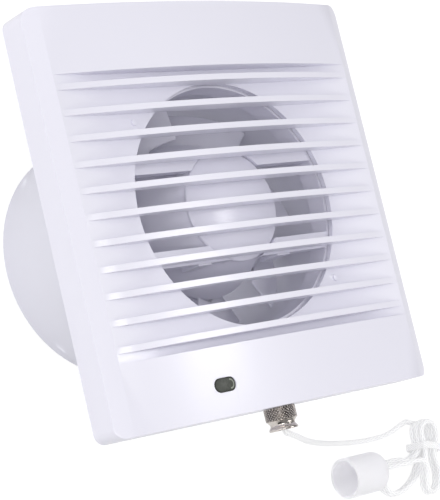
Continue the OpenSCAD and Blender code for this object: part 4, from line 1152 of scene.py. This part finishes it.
@dataclass
class Hank:
    """The spare cord, wound in flat loops, tied near its top and spread into two lobes.

    Lengths are millimetres here. A place on it is a loop number q, which counts turns from the first.
    Pairs of values are those of the first two loops and of the others.
    """

    top: tuple = (147.5, -92.0)  # where the hank's top lies
    turn: float = 17.0  # how far it is turned from the cover's axis, in degrees
    loops: float = 3.664
    rest: float = 1.1  # the height of the first layer
    step: float = 3.0  # the height from one layer to the next
    crossing: float = 0.35  # the share of a turn in which the cord climbs a layer
    top_u: float = 5.0  # how far down the top turns are centred
    top_half: float = 4.4  # their half width
    waist_u: float = 14.2  # how far down the runs are closest
    waist_half: float = 2.1  # their half distance there
    spread: float = 0.4  # how far neighbouring loops lie beside each other there
    tie_u: float = 12.0  # the distance from the top to the tie
    tie_lift: float = 0.8  # how far the tie's band lifts the strands
    lift_len: float = 9.0  # how far from the tie it does
    lobe_bend: tuple = (68.0, -40.0)  # how far each lobe bends aside, in degrees
    bend_u: float = 9.0  # how far down that bend starts
    bend_len: float = 20.0
    lobe_centre: tuple = (35.0, 25.5)  # how far down each lobe's turn is centred
    lobe_half: tuple = (6.8, 6.0)  # each lobe's half width
    lobe_spread: float = 0.6
    droop: float = 5.2  # how far the upper layers sink at their lobe

    def flat(self, q: Points) -> tuple[Points, Points, Points, Points]:
        """Lays the hank out flat, before its lobes are bent aside.

        Each loop runs round its top over the first and last eighth, down and up its two runs, and round
        its lobe over the middle quarter. The runs narrow to the waist and widen to the lobe.

        Args:
            q: loop places.

        Returns:
            The distance down the hank, the offset, the height and the bend of the lobe.
        """
        k = np.floor(q + 1e-6)
        f = q - k
        later = k >= 2
        apart = np.where(k % 2 == 0, 1 - f, f)
        top_h, waist_h = self.top_half + self.spread * apart, self.waist_half + self.spread * apart
        lobe_h = np.where(later, self.lobe_half[1], self.lobe_half[0]) + self.lobe_spread * apart
        far = np.where(later, self.lobe_centre[1], self.lobe_centre[0])
        first = f < 0.5
        s = np.where(first, (f - 0.125) * 4, (0.875 - f) * 4)
        narrowing = 0.4
        near = s < narrowing
        before, after = s / narrowing, (s - narrowing) / (1 - narrowing)
        half = np.where(near, top_h + (waist_h - top_h) * smooth_step(before),
                        waist_h + (lobe_h - waist_h) * smooth_step(after))
        run = np.where(near, self.top_u + (self.waist_u - self.top_u) * before,
                       self.waist_u + (far - self.waist_u) * after)
        top_turn = np.radians(np.where(first, f, f - 1) * 720)
        lobe_turn = np.radians((f - 0.5) * 720)
        parts = [(f < 0.125) | (f > 0.875), (f < 0.375) | (f > 0.625)]
        u = np.select(parts, [self.top_u - top_h * np.cos(top_turn), run], far + lobe_h * np.cos(lobe_turn))
        sides = [top_h * np.sin(top_turn), np.where(first, half, -half)]
        v = np.select(parts, sides, -lobe_h * np.sin(lobe_turn))
        sunk = np.where(first, smooth_step((f - 0.2) / 0.22), smooth_step((0.7 - f) / 0.2))
        layer = sum(smooth_step((q - start) / self.crossing) for start in (0.6, 1.6, 2.6, 3.6)) * self.step
        lift = self.tie_lift * smooth_step(1 - np.abs(u - self.tie_u) / self.lift_len)
        z = self.rest + layer - np.where(later, self.droop * sunk, 0) + lift
        return u, v, z, np.where(later, self.lobe_bend[1], self.lobe_bend[0])

    def points(self, q: Points) -> Points:
        """Places the hank, with its lobes bent aside on arcs.

        Args:
            q: loop places.

        Returns:
            The points in metres.
        """
        u, v, z, bend = self.flat(np.asarray(q, float))
        bend = np.radians(bend)
        arc = self.bend_len / bend
        psi = bend * np.clip((u - self.bend_u) / self.bend_len, 0, 1)
        past = np.maximum(0, u - self.bend_u - self.bend_len)
        on_arc = u > self.bend_u
        bent = self.bend_u + arc * np.sin(psi) + past * np.cos(psi)
        down = np.where(on_arc, bent, u) + v * np.sin(psi)
        off = np.where(on_arc, -arc * (1 - np.cos(psi)) - past * np.sin(psi), 0) + v * np.cos(psi)
        t = math.radians(self.turn)
        x = self.top[0] - down * math.sin(t) + off * math.cos(t)
        y = self.top[1] - down * math.cos(t) - off * math.sin(t)
        return np.stack([x, y, z], axis=-1) * MM


def braided(name: str, path: Points, radius: float, sides: int, carriers: int = 3,
            lay: float = 0.7 * MM) -> Object:
    """A braided tube.

    With a = n angle / 2 pi + s / (2 lay) and b = n angle / 2 pi - s / (2 lay), one family of strands
    stands cos^2(pi a) high and the other cos^2(pi b), and (1 + cos(n angle)) / 2 is the first's share.

    Args:
        name: the piece's name.
        path: the tube's middle line.
        radius: its mean radius.
        sides: how many points a ring has.
        carriers: strands that wind each way.
        lay: the distance between neighbouring strands along it.

    Returns:
        The tube.
    """
    around = carriers * (np.arange(sides) / sides)[None]
    along = path_length(path)[:, None] / (2 * lay)
    top = (1 + np.cos(TURN * around)) / 2
    one, other = (np.cos(math.pi * (around + way * along)) ** 2 for way in (1, -1))
    relief = top * one + (1 - top) * other
    return tube(name, path, radius * (0.9 + 0.16 * relief), sides, relief)


def trefoil(size: float, flatness: float, steps: int) -> tuple[Points, Points, Points]:
    """A trefoil knot, ((2 + cos 3a) cos 2a, (2 + cos 3a) sin 2a, flatness sin 3a) times its size.

    Args:
        size: a third of its radius.
        flatness: its depth, as a share of the size.
        steps: how many steps go round it.

    Returns:
        The three coordinates of its closed line.
    """
    a = np.linspace(0, TURN, steps + 1)
    wide = (2 + np.cos(3 * a)) * size
    return wide * np.cos(2 * a), wide * np.sin(2 * a), flatness * size * np.sin(3 * a)


@dataclass
class PullCord:
    """The pull cord with its hank, tie, knot and bell."""

    radius: float = 1.1 * MM
    exit: tuple = (0.0, -83.3 * MM, 81.6 * MM)  # where the cord leaves the nut
    start: tuple = (0.0, -60.0 * MM, 81.6 * MM)  # where it starts, in the slider
    mouth_y: float = -82.0 * MM  # the line of the nut's mouth
    bend_y: float = -80.3 * MM  # where its bend starts, inside the nut's flare
    lead_bend: float = 4.4 * MM  # the radius of that bend
    lead: tuple = (  # rows of x, distance in front of the mouth line and share of the exit's height
        (8.6, -3.4, 0.92), (17, -4.9, 0.845), (27, -6.3, 0.74), (38, -7.3, 0.62), (50, -8.3, 0.495),
        (62, -9.2, 0.378), (76, -10.2, 0.26), (92, -11.4, 0.154), (108, -12.3, 0.073), (122, -12.5, 0.024),
        (131, -11.6, 0.004), (138, -9.6, 0),
    )
    tail_bend: float = 4.8 * MM  # the radius of its turn out of the hank
    tail_rise: float = 1.2 * MM  # how far the tail rises through that turn
    tail: tuple = (  # rows of x, distance in front of the mouth line and height
        (131.9, -26, 11.4), (129.3, -26, 11), (125.8, -26, 10.3), (121.6, -26, 9.4), (118.4, -26, 8.8),
    )
    bell_end: tuple = (111.6 * MM, -108.0 * MM, 8.6 * MM)  # the middle of the bell's closed end
    carriers: int = 6  # strands that wind each way in the braid
    lay: float = 1.7 * MM  # the distance between neighbouring strands along the cord
    thread: float = 0.42 * MM  # the radius of the tie's thread
    tie_half: tuple = (5.6 * MM, 6.4 * MM)  # the tie's half width and half height
    tie_turns: int = 4
    step: float = 0.3 * MM  # the distance between the rings of a tube

    def lead_path(self, hank_in: Points, hank_start: Points) -> Points:
        """Lays the free cord from the slider to the hank.

        Args:
            hank_in: where the hank takes the cord in.
            hank_start: the hank's direction there.

        Returns:
            The points of its middle line.
        """
        height = self.start[2]
        x, dy, share = np.array(self.lead).T
        z = self.radius + share * (height - self.radius)
        route = np.stack([x * MM, self.mouth_y + dy * MM, z], axis=1)
        down = unit(np.array([route[0, 0], 0, route[0, 2] - height]))
        a = np.radians(np.arange(0, 91, 5))[:, None]
        middle = np.array([0, self.bend_y, height])
        bend = middle + self.lead_bend * (np.sin(a) * np.array([0, -1.0, 0]) + (1 - np.cos(a)) * down)
        ends = hank_in - 2 * self.radius * np.array([[1.5], [0.5]]) * hank_start
        curve = catmull_rom(np.concatenate([bend[-1:], route, ends]), 16)
        straight = np.array(self.start) + np.linspace(0, 1, 20)[:-1, None] * (middle - np.array(self.start))
        return np.concatenate([straight, bend[:-1], curve])

    def tail_path(self, hank_out: Points, hank_end: Points) -> Points:
        """Lays the cord from the hank over its own loops and through the bell's end to its knot.

        Args:
            hank_out: where the hank lets the cord out.
            hank_end: the hank's direction there.

        Returns:
            The points of its middle line.
        """
        heading = math.atan2(hank_end[1], hank_end[0])
        start = hank_out + 0.5 * self.radius * hank_end
        centre = start[:2] + self.tail_bend * np.array([-math.sin(heading), math.cos(heading)])
        a = np.radians(np.arange(15, 91, 15))
        bend = np.stack([
            centre[0] + self.tail_bend * np.sin(heading + a),
            centre[1] - self.tail_bend * np.cos(heading + a),
            start[2] + self.tail_rise * np.sin(a),
        ], axis=1)
        x, dy, z = np.array(self.tail).T
        route = np.stack([x * MM, self.mouth_y + dy * MM, z * MM], axis=1)
        last = np.array(self.bell_end) + np.outer([4.4, 2.2, 0, -4.4], [MM, 0, 0])
        return catmull_rom(np.concatenate([start[None], bend, route, last]), 12)

    def path(self) -> Points:
        """Lays the whole cord from the slider to the knot in the bell.

        Returns:
            Its middle line, evenly spaced and eased.
        """
        hank = Hank()
        loops = hank.points(np.linspace(0, hank.loops, 1400))
        begin, end = unit(loops[1] - loops[0]), unit(loops[-1] - loops[-2])
        lead = self.lead_path(loops[0] - 2 * self.radius * begin, begin)
        tail = self.tail_path(loops[-1] + self.radius * end, end)
        line = np.concatenate([lead, loops, tail])
        return spaced(eased(spaced(line, self.step), 3), self.step)

    def tie(self) -> Object:
        """Winds thin cord round the strands and ties it in a small knot on the right.

        Returns:
            The tie.
        """
        hank = Hank()
        t = math.radians(hank.turn)
        across = np.array([math.cos(t), -math.sin(t), 0])
        along = np.array([-math.sin(t), -math.cos(t), 0])
        up = np.array([0, 0, 1.0])
        half_w, half_h = (half - self.thread for half in self.tie_half)
        corner = 1.6 * MM
        signs = ((1, 1), (-1, 1), (-1, -1), (1, -1))
        loop = rounded_outline([(half_w * i, half_h * j, corner) for i, j in signs], steps=6)
        wound = np.concatenate([np.tile(loop, (self.tie_turns, 1)), loop[:1]])
        middle = np.array([*hank.top, self.tie_half[1] / MM]) * MM + hank.tie_u * MM * along
        shift = np.linspace(-1.5, 1.5, len(wound)) * MM
        line = middle + wound[:, :1] * across + wound[:, 1:] * up + shift[:, None] * along
        band = braided("cord_tie_turns", spaced(line, self.step), self.thread * 1.04, 12)
        x, y, z = (part[:, None] for part in trefoil(0.62 * MM, 1.1, 120))
        at = middle + (self.tie_half[0] + 1.5 * MM) * across + 1.0 * MM * up
        knot = at + x * across + y * up + z * along
        small = braided("cord_tie_knot", spaced(knot, 0.25 * MM), 0.5 * MM, 12)
        return join("cord_tie_skin", [band, small])

    def knot(self) -> Object:
        """Ties the knot that holds the bell, a trefoil of the cord inside the bell's end.

        Returns:
            The knot.
        """
        y, z, x = trefoil(0.95 * MM, 1.2, 160)
        line = np.stack([x, y, z], axis=1) + np.array(self.bell_end) - np.array([4.6, 0, 0]) * MM
        return braided("bell_knot_skin", spaced(line, self.step), 1.0 * MM, 24, self.carriers, self.lay)

    def build(self, painter: Painter) -> None:
        """Args:
            painter: what paints them.
        """
        path = self.path()
        cord = braided("pull_cord", path, self.radius, 30, self.carriers, self.lay)
        painter.dress(cord, Body.PULL, "cord_lead", "cord_hank", "cord_tail")
        pieces = {"cord_tie": self.tie(), "bell_knot": self.knot(), "pull_bell": Bell(self.bell_end).piece()}
        on_it = tuple(painter.dress(piece, Body.PULL, node) for node, piece in pieces.items())


@dataclass
class Bell:
    """The bell on the cord's end: a round cup, lying on its side with its mouth to the left."""

    end: tuple  # the middle of its closed end
    radius: float = 8.6 * MM
    length: float = 20.6 * MM
    wall: float = 1.2 * MM
    end_wall: float = 2.0 * MM  # the closed end's thickness
    end_round: float = 4.0 * MM  # the closed end's rounding
    rim_round: float = 0.45 * MM
    hole_r: float = 1.25 * MM  # the radius of the cord's hole
    hole_round: float = 0.3 * MM

    def piece(self) -> Object:
        """Turns the bell's outline about the way from its closed end to its mouth.

        Returns:
            The bell.
        """
        inner = self.radius - self.wall
        outline = rounded_outline([
            (self.hole_r, 0.0, self.hole_round),
            (self.radius, 0.0, self.end_round),
            (self.radius, self.length, self.rim_round),
            (inner, self.length, self.rim_round),
            (inner, self.end_wall, self.end_round - self.wall),
            (self.hole_r, self.end_wall, self.hole_round),
        ], steps=8)
        return revolved("pull_bell_skin", outline, Axis(self.end, (-1, 0, 0), (0, 1, 0)), columns=112)


@dataclass
class ReturnSpring:
    """The coil spring that draws the slider back, which flattens while the cord is pulled."""

    wire: float = 0.3 * MM  # the wire's radius
    radius: float = 2.6 * MM  # the coil's radius, to the wire's middle
    gap: float = 0.1 * MM  # the least room between two turns when it is flattened
    travel: float = 6.0 * MM  # how far the slider moves

    def build(self, painter: Painter) -> None:
        """Winds the spring, x = r cos(a), z = r sin(a), with y falling evenly.

        Args:
            painter: what paints it.
        """
        low, high = (np.array(corner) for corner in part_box("switch_spring"))
        middle = (low + high) / 2
        length = high[1] - low[1]
        turns = math.floor((length - 2 * self.wire - self.travel) / (2 * self.wire + self.gap))
        a = np.linspace(0, TURN * turns, 24 * turns + 1)
        y = np.linspace(high[1] - self.wire, low[1] + self.wire, len(a))
        path = np.stack([middle[0] + self.radius * np.cos(a), y, middle[2] + self.radius * np.sin(a)], axis=1)
        piece = painter.dress(tube("switch_spring_skin", path, self.wire, 8), Body.FAN, "switch_spring")
        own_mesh(piece)


@dataclass
class InnerParts:
    """The CAD nodes that are shown as they are, each with its finish."""

    def build(self, frame: dict, painter: Painter) -> None:
        """Paints every node that no piece stands for.

        Args:
            painter: what paints them.
        """
        for name, node in sorted(frame["nodes"].items()):
            if not node.hide_render:
                painter.paint(node, name)


# The photograph's view


def quad(name: str, corners: list, material: bpy.types.Material) -> Object:
    """A staged flat piece of four corners.

    Args:
        name: its name.
        corners: its corners in order.
        material: its material.

    Returns:
        The object, which isn't part of the fan.
    """
    mesh = bpy.data.meshes.new(name)
    mesh.from_pydata(corners, [], [(0, 1, 2, 3)])
    mesh.materials.append(material)
    made = linked(name, mesh)
    return made


@dataclass
class Studio:
    """The camera, the floor and the light."""

    eye: tuple = (-0.39906, -0.09090, 0.53628)  # the camera's place
    right: tuple = (0.7577, -0.2300, 0.6107)  # its direction to the right
    up: tuple = (0.0972, 0.9651, 0.2430)  # its direction up
    back: tuple = (-0.6453, -0.1248, 0.7537)  # its direction away from the view
    lens: float = 120.8  # its focal length in millimetres, on a 36 mm sensor
    floor_half: float = 6.0  # half the floor's side
    floor_z: float = -0.0001  # the floor's height, just under the fan
    veil: float = 0.55  # the share of plain white in the floor as the camera sees it
    veil_strength: float = 1.3
    card_corners: tuple = (
        (-0.42, -0.36, 0.05), (-0.16, -0.52, 0.05), (-0.16, -0.52, 0.3), (-0.42, -0.36, 0.3),
    )
    sky: float = 0.64  # the light from all round
    sky_in_gloss: float = 0.4  # how much less of it bright metal mirrors

    def camera(self) -> None:
        """Sets up the camera that took the photograph."""
        data = bpy.data.cameras.new("Camera")
        data.lens = self.lens
        data.sensor_width = 36.0
        data.clip_start, data.clip_end = 0.01, 50.0
        camera = linked("Camera", data)
        columns = zip(self.right + (0.0,), self.up + (0.0,), self.back + (0.0,), self.eye + (1.0,))
        camera.matrix_world = Matrix([list(row) for row in columns])
        bpy.context.scene.camera = camera

    def floor(self) -> None:
        """Lays a plain white surface that keeps a faint shadow of the fan."""
        graph = MaterialGraph("FloorPaper")
        fibre = graph.noise(graph.place, 400.0, 3.0, 0.6)
        colour = graph.mixed(fibre, (0.88, 0.88, 0.88, 1), (0.9, 0.9, 0.9, 1))
        paper = graph.add("ShaderNodeBsdfDiffuse", {"Color": colour})
        veil = graph.add("ShaderNodeEmission", {"Color": (1, 1, 1, 1), "Strength": self.veil_strength})
        seen = graph.math("MULTIPLY", graph.add("ShaderNodeLightPath").outputs["Is Camera Ray"], self.veil)
        graph.finish(graph.add("ShaderNodeMixShader", {0: seen, 1: paper.outputs[0], 2: veil.outputs[0]}))
        signs = ((-1, -1), (1, -1), (1, 1), (-1, 1))
        corners = [(self.floor_half * i, self.floor_half * j, self.floor_z) for i, j in signs]
        quad("Floor", corners, graph.material)

    def world(self) -> None:
        """Sets white behind the fan, a softer light of it on the fan and a dim one in bright metal."""
        world = bpy.data.worlds.new("World")
        world.use_nodes = True
        graph = Graph(world.node_tree)
        ray = graph.add("ShaderNodeLightPath").outputs
        soft = graph.between(ray["Is Camera Ray"], self.sky, 1.0)
        less = graph.math("MULTIPLY", ray["Is Glossy Ray"], self.sky_in_gloss)
        strength = graph.math("SUBTRACT", soft, less)
        sky = graph.add("ShaderNodeBackground", {"Color": (1, 1, 1, 1), "Strength": strength})
        graph.finish(sky, "World")
        bpy.context.scene.world = world

    def card(self) -> None:
        """Stands a dark card, which the bright metal mirrors, beside the view, unseen by the camera."""
        graph = MaterialGraph("DarkCard")
        fibre = graph.noise(graph.place, 300.0)
        colour = graph.mixed(fibre, (0.01, 0.01, 0.01, 1), (0.02, 0.02, 0.02, 1))
        graph.finish(graph.add("ShaderNodeBsdfDiffuse", {"Color": colour}))
        quad("Card", list(self.card_corners), graph.material).visible_camera = False

    @staticmethod
    def lamp(name: str, place: tuple, size: tuple, power: float, aim: tuple = (0.0, 0.0, 0.08)) -> None:
        """Sets up a soft lamp that the camera can't see.

        Args:
            name: its name.
            place: where it is.
            size: its width and height.
            power: its power in watts.
            aim: the place that it faces.
        """
        data = bpy.data.lights.new(name, "AREA")
        data.shape = "RECTANGLE"
        data.size, data.size_y = size
        data.energy = power
        lamp = linked(name, data)
        lamp.visible_camera = False
        back = unit(np.array(place) - np.array(aim))
        side = unit(np.cross([0, 1.0, 0.2], back))
        matrix = np.eye(4)
        matrix[:3, :3] = np.stack([side, np.cross(back, side), back], axis=1)
        matrix[:3, 3] = place
        lamp.matrix_world = Matrix(matrix.tolist())

    def build(self) -> None:
        """Sets up the view."""
        self.camera()
        self.floor()
        self.world()
        self.card()
        self.lamp("Key", (-0.35, 0.75, 1.15), (0.9, 0.9), 1.5)
        self.lamp("Gloss", (0.56, 0.07, 1.05), (0.2, 0.2), 1.3)
        self.lamp("Front", (-0.78, -0.16, 1.1), (0.5, 0.5), 3.0)
        self.lamp("Side", (-1.15, 0.1, 0.42), (0.9, 0.7), 3.2)
        self.lamp("Cord", (0.22, -0.34, 0.34), (0.2, 0.2), 0.3, aim=(0.12, -0.105, 0.0))
        self.lamp("Duct", (0.0, 0.0, 0.004), (0.07, 0.07), 0.009)
        bpy.context.scene.view_settings.view_transform = "Standard"


def main() -> None:
    """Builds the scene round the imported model."""
    logging.basicConfig(level=logging.INFO, format="%(name)s: %(message)s")
    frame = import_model()
    Studio().build()
    painter = Painter(frame["record"])
    PullCord().build(painter)
    CoverAssembly().build(frame, painter)
    FrameAssembly().build(frame, painter)
    Impeller().build(painter)
    KnurledNut().build(painter)
    ReturnSpring().build(painter)
    InnerParts().build(frame, painter)


if __name__ == "__main__":
    main()
